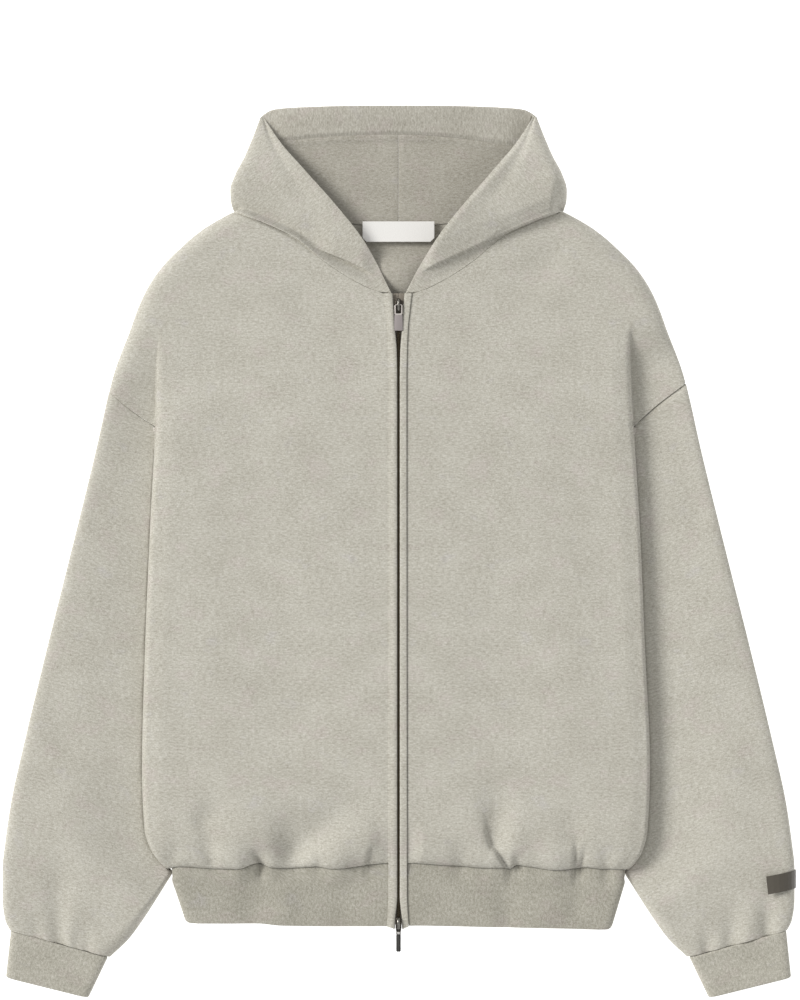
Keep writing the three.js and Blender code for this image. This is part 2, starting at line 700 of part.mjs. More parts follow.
// A pull: a bar under the bridge, a loop round it and a flat tab.
function pullGeometry({ loopWidth, loopLength, window, windowLength, tabWidth, length }) {
  const half = pullThickness / 2;
  const top = half;
  const shape = new THREE.Shape([
    new THREE.Vector2(-loopWidth / 2, top),
    new THREE.Vector2(-loopWidth / 2, -loopLength),
    new THREE.Vector2(-tabWidth / 2, -loopLength - 1),
    new THREE.Vector2(-tabWidth / 2, -length + 1),
    new THREE.Vector2(-tabWidth / 2 + 1, -length),
    new THREE.Vector2(tabWidth / 2 - 1, -length),
    new THREE.Vector2(tabWidth / 2, -length + 1),
    new THREE.Vector2(tabWidth / 2, -loopLength - 1),
    new THREE.Vector2(loopWidth / 2, -loopLength),
    new THREE.Vector2(loopWidth / 2, top),
  ]);
  const hole = new THREE.Path([
    new THREE.Vector2(-window / 2, -half),
    new THREE.Vector2(window / 2, -half),
    new THREE.Vector2(window / 2, -windowLength),
    new THREE.Vector2(-window / 2, -windowLength),
  ]);
  shape.holes.push(hole);
  return slab(shape, pullThickness, -half);
}

// Colours of the heathered fleece and the small parts.
const finishes = {
  fleece: { color: 0xbebbb0, roughness: 0.95, metalness: 0 },
  rib: { color: 0xaca89c, roughness: 0.95, metalness: 0 },
  tape: { color: 0x4a4740, roughness: 0.9, metalness: 0 },
  teeth: { color: 0x55524c, roughness: 0.4, metalness: 1 },
  slider: { color: 0x4c4a47, roughness: 0.35, metalness: 1 },
  topTab: { color: 0xa29d98, roughness: 0.45, metalness: 0.6 },
  bottomTab: { color: 0x201f1e, roughness: 0.5, metalness: 0.4 },
  label: { color: 0xf0efec, roughness: 0.8, metalness: 0 },
  tag: { color: 0x565046, roughness: 0.5, metalness: 0.3 },
};

const hoodie = new THREE.Group();

function add(name, geometry, finish, parent = hoodie) {
  const material = new THREE.MeshStandardMaterial({ ...finishes[finish], name: finish });
  const mesh = new THREE.Mesh(geometry, material);
  mesh.name = name;
  parent.add(mesh);
  return mesh;
}

const tubeSteps = evenSteps(2 * tubeColumns).slice(0, -1);
const panelRows = evenSteps(panelLevels.length - 1);
const flapColumns = hoodParts.length - 1;
const hoodColumns = [
  ...evenSteps(flapColumns).map((part) => part * hoodFolding),
  ...evenSteps(8).slice(1).map((part) => mix(hoodFolding, 1, part)),
];
const sides = [
  { side: 1, name: "left" },
  { side: -1, name: "right" },
];

// Fronts, sleeves, cuffs and hood halves, one of each on either side.
for (const { side, name } of sides) {
  const front = wall(frontFace(side), evenSteps(frontPlainColumns + frontColumns.length - 1), panelRows, fleece);
  add(`front_${name}`, handed(front, side), "fleece");
  const sleeve = wall(sleeveFace(side), tubeSteps, evenSteps(sleeveRows), fleece, true);
  add(`sleeve_${name}`, handed(sleeve, side), "fleece");
  const cuff = wall(cuffFace, tubeSteps, evenSteps(3), ribKnit, true);
  add(`cuff_${name}`, handed(cuff, side), "rib");
  const hood = wall(hoodFace(side), hoodColumns, evenSteps(hoodRows), doubledFleece);
  add(`hood_${name}`, handed(hood, side), "fleece");
}

const backSteps = evenSteps(2 * (backPlainColumns + backInsets.length - 1));
add("back_panel", wall(backFace, backSteps, evenSteps(backLevels.length - 1), fleece), "fleece");
add("waistband", wall(waistbandFace, evenSteps(44), evenSteps(3), ribKnit), "rib");
add("hood_facing", wall(facingFace, evenSteps(10), evenSteps(3), facingThickness), "fleece");

add("neck_label", wall(labelFace, evenSteps(6), evenSteps(2), labelThickness), "label");
add("sleeve_tag", wall(tagFace, evenSteps(9), evenSteps(2), tagThickness), "tag");

// The zip: tapes under the welts, the teeth between them, and two sliders with their pulls.
for (const { side, name } of sides) {
  const tapeTop = weltLift - weltThickness - seamGap;
  const tapeInner = () => 0.4;
  const tapeOuter = (y) => weltOuter(y) - 0.5;
  const tape = centreStrip(tapeInner, tapeOuter, tapeTop, zipBottomY, neckFrontY, tapeThickness);
  add(`zip_tape_${name}`, handed(tape, side), "tape");
  const welt = centreStrip(weltInner, weltOuter, weltLift, hemY, neckFrontY, weltThickness);
  add(`zip_welt_${name}`, handed(welt, side), "fleece");
}
const teethTop = weltLift - weltThickness + teethHeight;
const teeth = centreStrip(() => -teethHalfWidth, () => teethHalfWidth, teethTop, zipBottomY, zipTopY, teethHeight);
add("zip_teeth", teeth, "teeth");

const pulls = [
  { name: "top", y: sliderTopY, pull: topPull, finish: "topTab" },
  { name: "bottom", y: sliderBottomY, pull: bottomPull, finish: "bottomTab" },
];
for (const { name, y, pull, finish } of pulls) {
  const place = new THREE.Group();
  place.position.set(0, y, centreHeight(y) + teethTop + seamGap + sliderPlate.height + bridge.inner);
  hoodie.add(place);
  add(`slider_${name}`, sliderGeometry(), "slider", place);
  add(`pull_${name}`, pullGeometry(pull), finish, place);
}

export default hoodie;
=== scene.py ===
import bpy
import numpy as np
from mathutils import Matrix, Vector


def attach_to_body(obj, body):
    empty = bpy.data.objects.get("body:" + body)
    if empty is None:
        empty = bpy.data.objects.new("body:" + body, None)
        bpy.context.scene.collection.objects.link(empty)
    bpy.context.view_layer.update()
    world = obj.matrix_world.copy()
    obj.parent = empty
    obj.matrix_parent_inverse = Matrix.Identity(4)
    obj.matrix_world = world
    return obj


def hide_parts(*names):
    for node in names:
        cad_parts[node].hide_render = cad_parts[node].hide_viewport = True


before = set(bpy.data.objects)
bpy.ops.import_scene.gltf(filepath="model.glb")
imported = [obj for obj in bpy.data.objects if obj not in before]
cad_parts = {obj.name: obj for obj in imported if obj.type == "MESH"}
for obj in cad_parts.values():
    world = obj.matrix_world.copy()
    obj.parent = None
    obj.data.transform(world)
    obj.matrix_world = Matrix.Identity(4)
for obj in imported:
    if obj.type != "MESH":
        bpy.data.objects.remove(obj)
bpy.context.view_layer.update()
print("frame loaded:", len(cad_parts), "nodes")


def clamp01(a):
    return np.clip(a, 0.0, 1.0)


def mix(a, b, part):
    return a + (b - a) * part


# 0 to 1 with level ends
def smooth(a):
    a = clamp01(a)
    return a * a * (3 - 2 * a)


# quarter round: starts upright at 0 and is level from 1 on
def dome(a):
    return np.sqrt(np.maximum(0, 1 - (1 - clamp01(a)) ** 2))


# rolled edge: upright at 0, level from 1 on, and squarer the higher the power
def edgeRoll(a, power=3.0):
    return np.maximum(0, 1 - (1 - clamp01(a)) ** power) ** (1 / power)


# bell curve round a place
def bell(a, width):
    return np.exp(-((a / width) ** 2))


# cubic through (place, value) pairs, with slopes that never overshoot
def curveThrough(*pairs):
    xs, ys = np.array(sorted(pairs), float).T
    steps = np.diff(ys) / np.diff(xs)
    before, after = np.r_[steps[0], steps], np.r_[steps, steps[-1]]
    total = before + after
    slopes = np.where(before * after <= 0, 0, 2 * before * after / np.where(total == 0, 1, total))

    def read(x):
        x = np.asarray(x, float)
        i = np.clip(np.searchsorted(xs, x, side="right") - 1, 0, len(xs) - 2)
        span = xs[i + 1] - xs[i]
        t = clamp01((x - xs[i]) / span)
        inside = ys[i] * (1 + 2 * t) * (1 - t) ** 2 + slopes[i] * span * t * (1 - t) ** 2
        inside += ys[i + 1] * t * t * (3 - 2 * t) + slopes[i + 1] * span * t * t * (t - 1)
        return inside + slopes[0] * np.minimum(0, x - xs[0]) + slopes[-1] * np.maximum(0, x - xs[-1])

    return read


# The pattern from above: seams and outlines that neighbouring pieces share.
cut = {
    "underarm": 124.5, "shoulderPoint": {1: 168.0, -1: 160.0}, "neckFront": 258.0,
    "neckBack": 325.5, "hoodTop": 446.5, "hemSeam": -311.0, "hem": -374.5, "hemHalf": 227.0,
    "neckSide": 164.0, "foldStart": 232.0, "sleeveFree": -321.0, "gap": 0.06,
}
heights = {
    "body": 31.0, "sleeve": 14.2, "band": 17.0, "cuff": 16.0, "sleeveTuck": 6.2, "ledge": 7.8,
    "sideSeam": 11.4, "outline": 7.0, "underarm": 6.5,
}
rounds = {
    "hem": 36.0, "side": 15.0, "outline": 20.0, "foldRoll": {1: 8.0, -1: 10.0},
    "sideRoll": {1: 5.5, -1: 7.5},
}
# the level where the fold along the body's side begins, and the length over which it forms
foldForms = {1: (cut["foldStart"], 52.0), -1: (cut["foldStart"] - 6, 104.0)}
# the arm beside the body's edge: its height there, the same by the underarm, and how far it rises
arm = {"start": {1: 8.6, -1: 10.9}, "atUnderarm": 7.8, "reach": {1: 95, -1: 70}}

# half the body's width at each level, on the wearer's left (1) and right (-1)
bodySide = {
    1: curveThrough(
        (232, 231), (182, 232.5), (122, 235.5), (22, 241.5), (-98, 246.5),
        (-218, 251.5), (-278, 249), (-298, 244.5), (-312, 236), (-321, 227),
    ),
    -1: curveThrough(
        (232, 237), (182, 241.5), (122, 243.5), (22, 248.5), (-98, 253.5),
        (-218, 256.5), (-278, 254), (-298, 247.5), (-312, 237.5), (-321, 227),
    ),
}
# how far a sleeve reaches in beneath the body at each level, and its free inner edge further down
sleeveTuck = curveThrough(
    (125, 0), (115, 3), (103, 8), (60, 16), (0, 22),
    (-240, 24), (-285, 17), (-300, 11), (-312, 4.5), (-321, 1),
)
sleeveInner = curveThrough(
    (-321, 226), (-325, 228), (-329, 230.6), (-349, 243), (-369, 256), (-389, 271), (-406, 289)
)
outlineX = curveThrough(
    (347.5, 148), (340, 165), (321.5, 197), (301.5, 220.5), (281.5, 239.5), (261.5, 252.5),
    (241.5, 261.5), (221.5, 268.8), (181.5, 284), (161.5, 289.5), (101.5, 303), (1.5, 327.5),
    (-98.5, 352.5), (-198.5, 376.5), (-248.5, 387.5), (-288.5, 393.5), (-318.5, 396.5),
    (-348.5, 396.5), (-368.5, 394), (-380, 388.5),
)
neckPairs = [
    (6, 257.6), (17, 258.5), (41.5, 268.5), (74.5, 289.5), (100.5, 311), (132, 326.5), (165, 340),
]
neckY = curveThrough(*neckPairs)
neckX = curveThrough(*[(y, x) for x, y in neckPairs])
# level, and the welt's inner and outer edge there
weltPairs = [
    (258, 5.9, 13.6), (240, 4.4, 11.6), (226, 3.7, 10.0), (198, 1.5, 8.8), (170, 1.1, 8.4),
    (-345, 1.1, 8.9), (-358, 2.2, 9.4), (-364, 3.0, 9.8), (-375, 3.3, 10.4),
]
weltInner = curveThrough(*[(y, a) for y, a, b in weltPairs])
weltOuter = curveThrough(*[(y, b) for y, a, b in weltPairs])


# the waistband's seam: even at the back, pulled up and down by the gathers on the two fronts
seamLines = {
    1: curveThrough(
        (10, -311), (41, -313.3), (68, -315), (84, -316.3), (104, -316), (111, -317.5), (117.6, -313.8),
        (134, -315.5), (156, -318.3), (176, -317.1), (187, -316), (205, -317.6), (230, -318),
    ),
    -1: curveThrough(
        (11, -311), (33, -313.8), (66, -317.1), (83, -315.1), (98, -316.3), (112, -317.1),
        (126, -316.3), (141, -311.7), (161, -317.1), (182, -317.1), (215, -315), (232, -317),
    ),
    0: lambda x: cut["hemSeam"] - 7 * clamp01(x / 190),
}
# how far the waistband's lower edge lies above its straight line
hemWave = curveThrough(
    (-230, 2.8), (-140, 2.6), (-116, 0.6), (-60, 0), (0, 0.3),
    (17, 0.7), (50, 0.2), (100, -1.0), (170, -2.4), (208, -3.6),
)


def seamY(x, side=0):
    return seamLines[side](np.clip(np.abs(x), 10, 230))


def outlineDistance(x, y):
    slope = (outlineX(y + 1) - outlineX(y - 1)) / 2
    return (outlineX(y) - x) / np.hypot(1, slope)


# how far the armhole seam bows between the underarm and the shoulder point
armholeBow = {1: 2.2, -1: -2.0}


# a front's outer edge: the body's side, the armhole seam, then the outline over the shoulder
def panelSide(y, side):
    top = cut["shoulderPoint"][side]
    start, end = bodySide[side](cut["underarm"]), outlineX(top)
    part = (y - cut["underarm"]) / (top - cut["underarm"])
    bow = armholeBow[side] * np.sin(np.pi * clamp01(part)) * (end - start) / (top - cut["underarm"])
    armhole = mix(start, end, part) - 2 * cut["gap"] - bow
    return np.where(y >= top, outlineX(y), np.where(y <= cut["underarm"], bodySide[side](y), armhole))


# Creases, listed one by one: x and y of the line's start, then of its end, depth, width, stepped. The
# depth grows along the line, and below 0 it's a ridge. A stepped one drops at once at its line and comes
# back up over the width on the line's left. The others are soft troughs.
hemFolds = [
    (96, -226, 98, -276, 4.6, 14, 0), (86.5, -262, 91, -288, 3.0, 9, 1),
    (89, -284, 108.5, -315, 5.6, 8, 1), (118, -262, 112, -312, -2.4, 12, 0),
    (116, -300, 119, -314, 3.0, 5, 0), (176.3, -282, 176.3, -316, 3.4, 6, 1),
    (186, -292, 182, -316, 3.0, 4, 1), (171, -252, 173, -282, 2.0, 14, 0),
    (150, -282, 156, -317, -3.0, 17, 0), (206, -290, 208, -316, 2.2, 7, 0),
    (64, -284, 62, -312, 2.2, 10, 0), (92, -296, 94, -314, -1.8, 8, 0),
    (-10, -262, -20, -296, 2.2, 9, 0), (-26, -292, -31.5, -314, 3.8, 6, 1),
    (-36, -238, -98, -300, 5.0, 15, 0), (-62, -288, -60, -314, -3.0, 16, 0),
    (-76, -300, -80, -314, 1.6, 5, 0), (-98, -252, -108, -294, 7.5, 19, 0),
    (-146, -298, -138.5, -312, 6.0, 7, 1), (-178, -284, -160, -314, -4.0, 15, 0),
    (-170, -246, -192, -268, 3.2, 15, 0), (-196, -282, -186, -306, 3.4, 8, 0),
    (-222, -284, -226, -306, 2.2, 9, 0),
]
sleeveFolds = [
    (-340.5, -300, -338.5, -392, 4.6, 11, 0), (-331, -340, -326, -398, -2.4, 8, 0),
    (-322, -366, -323, -398, 3.2, 6, 0), (-311, -374, -312, -402, 3.0, 6, 0),
    (-362, -350, -362, -390, 2.2, 8, 0), (-300, -150, -330, -190, 2.0, 30, 0),
    (368.5, -335, 369, -388, 4.4, 7.5, 0), (352, -350, 348, -392, -2.2, 8, 0),
    (334, -352, 331, -398, 3.2, 8, 0), (310, -372, 308, -402, 3.0, 6.5, 0),
    (300, -120, 338, -168, 2.0, 30, 0), (268, 60, 300, 40, 1.6, 22, 0),
    (-268, 60, -300, 40, 1.6, 22, 0),
]
bandFolds = [
    (106, -316, 109, -372, 2.6, 11, 0), (-142, -316, -146, -370, 2.6, 17, 0),
    (-118, -316, -112, -352, -1.8, 12, 0), (-60, -322, -52, -366, 1.4, 16, 0),
    (176, -320, 178, -350, 1.6, 10, 0), (140, -318, 150, -360, -1.4, 16, 0),
]
drapeFolds = [
    (-150, 215, -225, 168, 1.8, 26, 0), (238, 150, 268, 190, 1.6, 12, 0),
    (-96, -40, -120, -170, 1.2, 46, 0), (110, 60, 90, -150, 1.3, 52, 0),
    (-60, 200, -96, 250, 1.2, 22, 0), (92, 238, 150, 292, 1.8, 18, 0),
]


# depth of a list of folds at points: across each line a bell, or a step with a long slope back
def foldDepth(x, y, folds):
    depth = np.zeros(np.broadcast(x, y).shape)
    for x0, y0, x1, y1, deep, width, stepped in folds:
        length = np.hypot(x1 - x0, y1 - y0)
        ux, uy = (x1 - x0) / length, (y1 - y0) / length
        along = ((x - x0) * ux + (y - y0) * uy) / length
        across = -(x - x0) * uy + (y - y0) * ux
        spread = width * mix(1.5, 0.85, clamp01(along))
        profile = bell(across, spread)
        if stepped:
            profile = np.where(across > 0, np.exp(-across / spread), bell(across, 1.8))
        strength = smooth((along + 0.25) / 1.1) * (1 - smooth((along - 1.05) / 0.5))
        depth = depth + deep * strength * profile
    return depth


# broad soft waves: a sum of a few sines in fixed directions
def softWaves(x, y, height, seed):
    draw = np.random.default_rng(seed)
    total = 0
    for _ in range(7):
        angle, length, start = draw.uniform(0, np.pi), draw.uniform(90, 230), draw.uniform(0, 6.28)
        total = total + np.sin((x * np.cos(angle) + y * np.sin(angle)) * 2 * np.pi / length + start)
    return height * total / 7


# height of a front over the surface, with its folds and its fall to the waistband
def bodyCrown(x, y, side):
    centre = heights["body"] + 1.5 * smooth((120 - y) / 300) - 5 * smooth((y - 120) / 150)
    plain = centre - 3.5 * (x / 250) ** 2
    plain = plain - foldDepth(side * x, y, drapeFolds) + softWaves(side * x, y, 1.0, 11)
    hem = dome((y - seamY(x, side)) / rounds["hem"])
    return mix(heights["band"], plain, hem) - 1.3 * foldDepth(side * x, y, hemFolds)


# 0 above the underarm, 1 from where the side seam has its full height
def belowUnderarm(y):
    return smooth((cut["underarm"] + 8 - y) / 74)


# an arm at a distance from the body's edge: up out of the tuck beneath the edge, then a gentle rise
def armHeight(d, y, side):
    start = mix(arm["atUnderarm"], arm["start"][side], belowUnderarm(y))
    tucked = mix(start, heights["sleeveTuck"], dome(-d / 8))
    return mix(tucked, heights["sleeve"] - 2.0 * smooth((d - 60) / 90), smooth(d / arm["reach"][side]))


# Height of the cloth that shows. Up to the fold it's the front, rolled down to the side seam. Beyond
# it lies the arm. Over the shoulder, where nothing is folded, the front runs to the outline.
def topHeight(x, y, side):
    fold = bodySide[side](np.minimum(y, cut["foldStart"]))
    crown = bodyCrown(x, y, side)
    roll = mix(rounds["foldRoll"][side], rounds["sideRoll"][side], smooth((150 - y) / 110))
    edge = mix(8.0, heights["sideSeam"], belowUnderarm(y))
    below = mix(edge, crown - 2.2 * (1 - smooth((fold - x) / 22)), edgeRoll((fold - x) / roll, 2.8))
    toOutline = outlineDistance(x, y)
    unfolded = mix(heights["outline"], crown, edgeRoll(toOutline / rounds["outline"], 2.6))
    sleeveTop = np.maximum(armHeight(x - fold, y, side), heights["outline"])
    outside = mix(heights["outline"], sleeveTop, edgeRoll(toOutline / rounds["side"]))
    start, reach = foldForms[side]
    folded = mix(unfolded, np.where(x < fold, below, outside), smooth((start - y) / reach))
    return np.where((y <= cut["underarm"]) & (x <= fold + 0.01), below, folded)


# half the waistband's width at a level, narrower below, with a small corner at the hem
def bandSide(y):
    corner = 3.5 * (1 - edgeRoll((y - cut["hem"]) / 5, 2))
    return 229 - 15.5 * clamp01((-317 - y) / 55) - corner - 2.2 * smooth((y + 326) / 7)


def sideHeight(y):
    return mix(heights["underarm"], heights["sideSeam"], smooth((cut["underarm"] - y) / 66))


# how far the levels near the hem give way to the waistband's seam
def hemDrop(x, level, side=0):
    return (seamY(x, side) + cut["gap"] - cut["hemSeam"]) * (1 - smooth((level - cut["hemSeam"]) / 70))


# height along the zip
def centreHeight(y):
    return mix(heights["band"], bodyCrown(0, np.maximum(y, -250), 1), smooth((y + 324) / 62))


# an object put into the scene
def linked(name, data):
    thing = bpy.data.objects.new(name, data)
    bpy.context.scene.collection.objects.link(thing)
    return thing


def putObject(name, points, faces, materials, slots=None, uvs=None, sharp=False):
    mesh = bpy.data.meshes.new(name)
    mesh.from_pydata((np.asarray(points, float) * 0.001).tolist(), [], [list(face) for face in faces])
    mesh.polygons.foreach_set("use_smooth", np.full(len(faces), not sharp))
    if uvs is not None:
        weave = mesh.uv_layers.new(name="weave")
        weave.data.foreach_set("uv", (np.asarray(uvs, float) * 0.001).ravel())
    mesh.update()
    for material in materials:
        mesh.materials.append(material)
    if slots is not None:
        mesh.polygons.foreach_set("material_index", slots)
    return linked(name, mesh)


def attach(piece, *nodes, body="garment", slot=None):
    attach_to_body(piece, body)
    if nodes:
        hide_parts(*nodes)
    return piece


# evenly spaced numbers down a column, or along a row
def column(count, first=0, last=1):
    return np.linspace(first, last, count)[:, None]


def row(count, first=0, last=1):
    return np.linspace(first, last, count)[None, :]


# levels from the first place through (last place, number) stretches
def stretches(first, *parts):
    levels = []
    for last, count in parts:
        levels.append(np.linspace(first, last, count))
        first = last
    return np.unique(np.concatenate(levels))


# distances summed down each column, from 0
def runningSum(steps):
    return np.concatenate([np.zeros((1, steps.shape[1])), np.cumsum(steps, 0)])


# indices of the cells of a grid
def cells(rows, columns):
    return (a.ravel() for a in np.meshgrid(np.arange(rows), np.arange(columns), indexing="ij"))


rimShares = [0.05, 0.22, 0.55, 1.0]


# extra lines close to a sheet's two ends, at shares of the edge's radius
def withRimLines(sheet, radius):
    def near(edge, inner):
        step = np.maximum(np.linalg.norm(inner[:, :3] - edge[:, :3], axis=1)[:, None], 1e-6)
        return [mix(edge, inner, np.minimum(radius * s / step, 0.9 * s)) for s in rimShares]

    first, last = near(sheet[0], sheet[1]), near(sheet[-1], sheet[-2])
    return np.stack([sheet[0], *first, *sheet[1:-1], *last[::-1], sheet[-1]])


# how far the edge's round has come at each point: 0.2 at an open end, 1 once a radius inside it
def edgeRound(outer, radius):
    steps = np.linalg.norm(np.diff(outer, axis=0), axis=2)
    fromStart = runningSum(steps)
    inside = np.minimum(fromStart, fromStart[-1:] - fromStart)
    return dome(np.maximum(inside / radius, 0.02))


# Weave coordinates from above, drawn out where the cloth is steep so that it doesn't stretch there.
def planarUv(grid, direction=(1.0, 0.0)):
    cx, cy = direction
    x, y = grid[..., 0], grid[..., 1]
    steps = np.diff(grid, axis=0)
    extra = np.linalg.norm(steps, axis=2) - np.linalg.norm(steps[..., :2], axis=2)
    return np.stack([x * cx + y * cy + runningSum(extra), -x * cy + y * cx], 2)


# A wall of cloth: the outer surface is the grid, the inner one lies behind it by the thickness
# along the normal, and both sink to the middle over a round at the open edges. A tube's weave
# coordinates have one row more than its grid, and the wall closes there.
def clothWall(name, grid, sizes, material, side=1, uv=None, shadedLining=None):
    thickness = sizes["thickness"]
    radius = sizes.get("edge", thickness / 2)
    uv = planarUv(grid) if uv is None else uv
    closed = len(uv) > len(grid)
    sheet = np.concatenate([grid, uv[: len(grid)]], axis=2)
    if not closed:
        sheet = withRimLines(sheet, radius)
    sheet = withRimLines(sheet.transpose(1, 0, 2), radius).transpose(1, 0, 2)
    outer = sheet[..., :3]
    rounding = edgeRound(outer.transpose(1, 0, 2), radius).T
    if closed:
        alongU = np.roll(outer, -1, 0) - np.roll(outer, 1, 0)
    else:
        rounding = rounding * edgeRound(outer, radius)
        alongU = np.gradient(outer, axis=0)
    normal = np.cross(alongU, np.gradient(outer, axis=1))
    normal /= np.maximum(np.linalg.norm(normal, axis=2, keepdims=True), 1e-9)
    sink = radius * (1 - rounding)[..., None]
    front, back = outer - normal * sink, outer - normal * (thickness - sink)
    nu, nv = front.shape[:2]
    points = np.concatenate([front.reshape(-1, 3), back.reshape(-1, 3)]) * (side, 1, 1)

    weave = sheet[..., 3:]
    if closed:
        turn = uv[-1] - uv[0]
        turn = withRimLines(np.concatenate([grid[0], turn], 1)[:, None], radius)[:, 0, 3:]
        weave = np.concatenate([weave, weave[:1] + turn[None]])

    count = nu if closed else nu - 1
    i, j = cells(count, nv - 1)
    corners = [(i, j), (i + 1, j), (i + 1, j + 1), (i, j + 1)]
    faces, faceUvs = [], []

    def collect(places, layers):
        ids = [(a % nu) * nv + b + layer * nu * nv for (a, b), layer in zip(places, layers)]
        faces.append(np.stack(ids, 1))
        faceUvs.append(np.stack([weave[a, b] for a, b in places], 1))

    collect(corners, [0] * 4)
    collect(corners[::-1], [1] * 4)
    k = np.arange(count)
    for a, b, rim in ((k + 1, k, 0 * k), (k, k + 1, 0 * k + nv - 1)):
        collect([(a, rim), (b, rim), (b, rim), (a, rim)], [0, 0, 1, 1])
    if not closed:
        k = np.arange(nv - 1)
        for a, b, rim in ((k, k + 1, 0 * k), (k + 1, k, 0 * k + nu - 1)):
            collect([(rim, a), (rim, b), (rim, b), (rim, a)], [0, 0, 1, 1])
    faces, faceUvs = np.concatenate(faces), np.concatenate(faceUvs)
    if side < 0:
        faces, faceUvs = faces[:, ::-1], faceUvs[:, ::-1]
    isInner = np.zeros(len(faces), int)
    isInner[len(i): 2 * len(i)] = 1
    # the inner faces take the darker copy of the knit, which paints their shade
    materials, slots = ([material, shadedLining], isInner) if shadedLining else ([material], None)
    return putObject(name, points, faces.tolist(), materials, slots, faceUvs.reshape(-1, 2))


# Points and faces of a flat plate between two heights, with or without a hole of as many points.
def plate(outline, low, high, hole=None):
    outline = np.asarray(outline, float)
    n = len(outline)
    loops = [outline] if hole is None else [outline, np.asarray(hole, float)]
    points = np.concatenate([np.c_[loop, np.full(n, z)] for z in (low, high) for loop in loops])
    k, m = np.arange(n), (np.arange(n) + 1) % n
    if hole is None:
        walls = np.stack([k, m, m + n, k + n], 1).tolist()
        return points, walls + [list(range(n))[::-1], list(range(n, 2 * n))]
    rings = [(k, m, m + 2 * n, k + 2 * n), (m + n, k + n, k + 3 * n, m + 3 * n)]
    rings += [(k + 2 * n, m + 2 * n, m + 3 * n, k + 3 * n), (m, k, k + n, m + n)]
    return points, np.concatenate([np.stack(ring, 1) for ring in rings]).tolist()


# Points and faces of a round wire: a circle carried along a path in the plane of y and z.
def wire(path, halfWidth, halfHeight, rings=14):
    path = np.asarray(path, float)
    tangent = np.gradient(path, axis=0)
    tangent /= np.linalg.norm(tangent, axis=1, keepdims=True)
    across = np.array([[1.0, 0.0, 0.0]])
    upward = np.cross(across, tangent)
    angle = np.linspace(0, 2 * np.pi, rings, endpoint=False)[:, None]
    ring = path[:, None] + halfWidth * across[:, None] * np.cos(angle)
    ring = ring + halfHeight * upward[:, None] * np.sin(angle)
    n = len(path)
    i, j = cells(n - 1, rings)
    turn = (j + 1) % rings
    start, after = i * rings, (i + 1) * rings
    faces = np.stack([start + j, start + turn, after + turn, after + j], 1).tolist()
    ends = [list(range(rings))[::-1], list(range((n - 1) * rings, n * rings))]
    return ring.reshape(-1, 3), faces + ends


# an oval with straighter sides the higher the power, narrower at its lower end by the taper
def oval(halfWidth, halfLength, power=2.6, taper=0.0, count=40, centre=0.0):
    angle = np.linspace(0, 2 * np.pi, count, endpoint=False)
    c, s = np.cos(angle), np.sin(angle)
    x = halfWidth * np.sign(c) * np.abs(c) ** (2 / power) * (1 + taper * s)
    return np.stack([x, centre + halfLength * np.sign(s) * np.abs(s) ** (2 / power)], 1)


# one object from several parts, each with its own material, its sharp edges rounded
def assembled(name, place, parts, edge):
    points, faces, slots, count = [], [], [], 0
    for (partPoints, partFaces), slot in parts:
        points.append(partPoints + place)
        faces += [[k + count for k in face] for face in partFaces]
        slots += [slot] * len(partFaces)
        count += len(partPoints)
    materials = list(dict.fromkeys(slots))
    slots = [materials.index(slot) for slot in slots]
    piece = putObject(name, np.concatenate(points), faces, materials, slots)
    rounding = piece.modifiers.new("edge", "BEVEL")
    rounding.width = edge * 0.001
    rounding.segments = 3
    rounding.limit_method = "ANGLE"
    rounding.angle_limit = 1.0
    return piece


def newMaterial(name):
    material = bpy.data.materials.new(name)
    material.use_nodes = True
    tree = material.node_tree
    tree.nodes.clear()
    output = tree.nodes.new("ShaderNodeOutputMaterial")
    shader = tree.nodes.new("ShaderNodeBsdfPrincipled")
    tree.links.new(shader.outputs[0], output.inputs[0])
    return material, tree, shader


def srgb(r, g, b):
    c = np.array([r, g, b]) / 255
    return (*np.where(c <= 0.04045, c / 12.92, ((c + 0.055) / 1.055) ** 2.4), 1.0)


def setInputs(shader, values):
    for socket, value in values.items():
        shader.inputs[socket].default_value = value


# the coordinates along and across the cloth
def weaveCoords(tree):
    uv = tree.nodes.new("ShaderNodeUVMap")
    uv.uv_map = "weave"
    return uv.outputs[0]


# a colour ramp through (place, colour) stops, its two end stops first
def rampNode(tree, factor, *stops):
    ramp = tree.nodes.new("ShaderNodeValToRGB")
    elements = ramp.color_ramp.elements
    for k, (place, colour) in enumerate(stops):
        element = elements[k] if k < 2 else elements.new(place)
        element.position, element.color = place, colour
    tree.links.new(factor, ramp.inputs["Fac"])
    return ramp.outputs[0]


def addBump(tree, shader, relief, strength, distance):
    bump = tree.nodes.new("ShaderNodeBump")
    setInputs(bump, {"Strength": strength, "Distance": distance})
    tree.links.new(relief, bump.inputs["Height"])
    tree.links.new(bump.outputs[0], shader.inputs["Normal"])


# noise whose grains are finer the larger the two numbers of the stretch
def noiseAt(tree, coords, stretch, detail, rough=0.55):
    place = tree.nodes.new("ShaderNodeMapping")
    place.inputs["Scale"].default_value = (*stretch, 1)
    noise = tree.nodes.new("ShaderNodeTexNoise")
    setInputs(noise, {"Scale": 1, "Detail": detail, "Roughness": rough})
    tree.links.new(coords, place.inputs["Vector"])
    tree.links.new(place.outputs[0], noise.inputs["Vector"])
    return noise.outputs["Fac"]


def mathNode(tree, kind, a, b):
    node = tree.nodes.new("ShaderNodeMath")
    node.operation = kind
    for socket, value in zip(node.inputs, (a, b)):
        if hasattr(value, "links"):
            tree.links.new(value, socket)
        else:
            socket.default_value = value
    return node.outputs[0]


# sum of outputs times weights
def weighted(tree, *pairs):
    total = 0.0
    for k, (output, weight) in enumerate(pairs):
        part = mathNode(tree, "MULTIPLY", output, weight)
        total = mathNode(tree, "ADD", total, part) if k else part
    return total


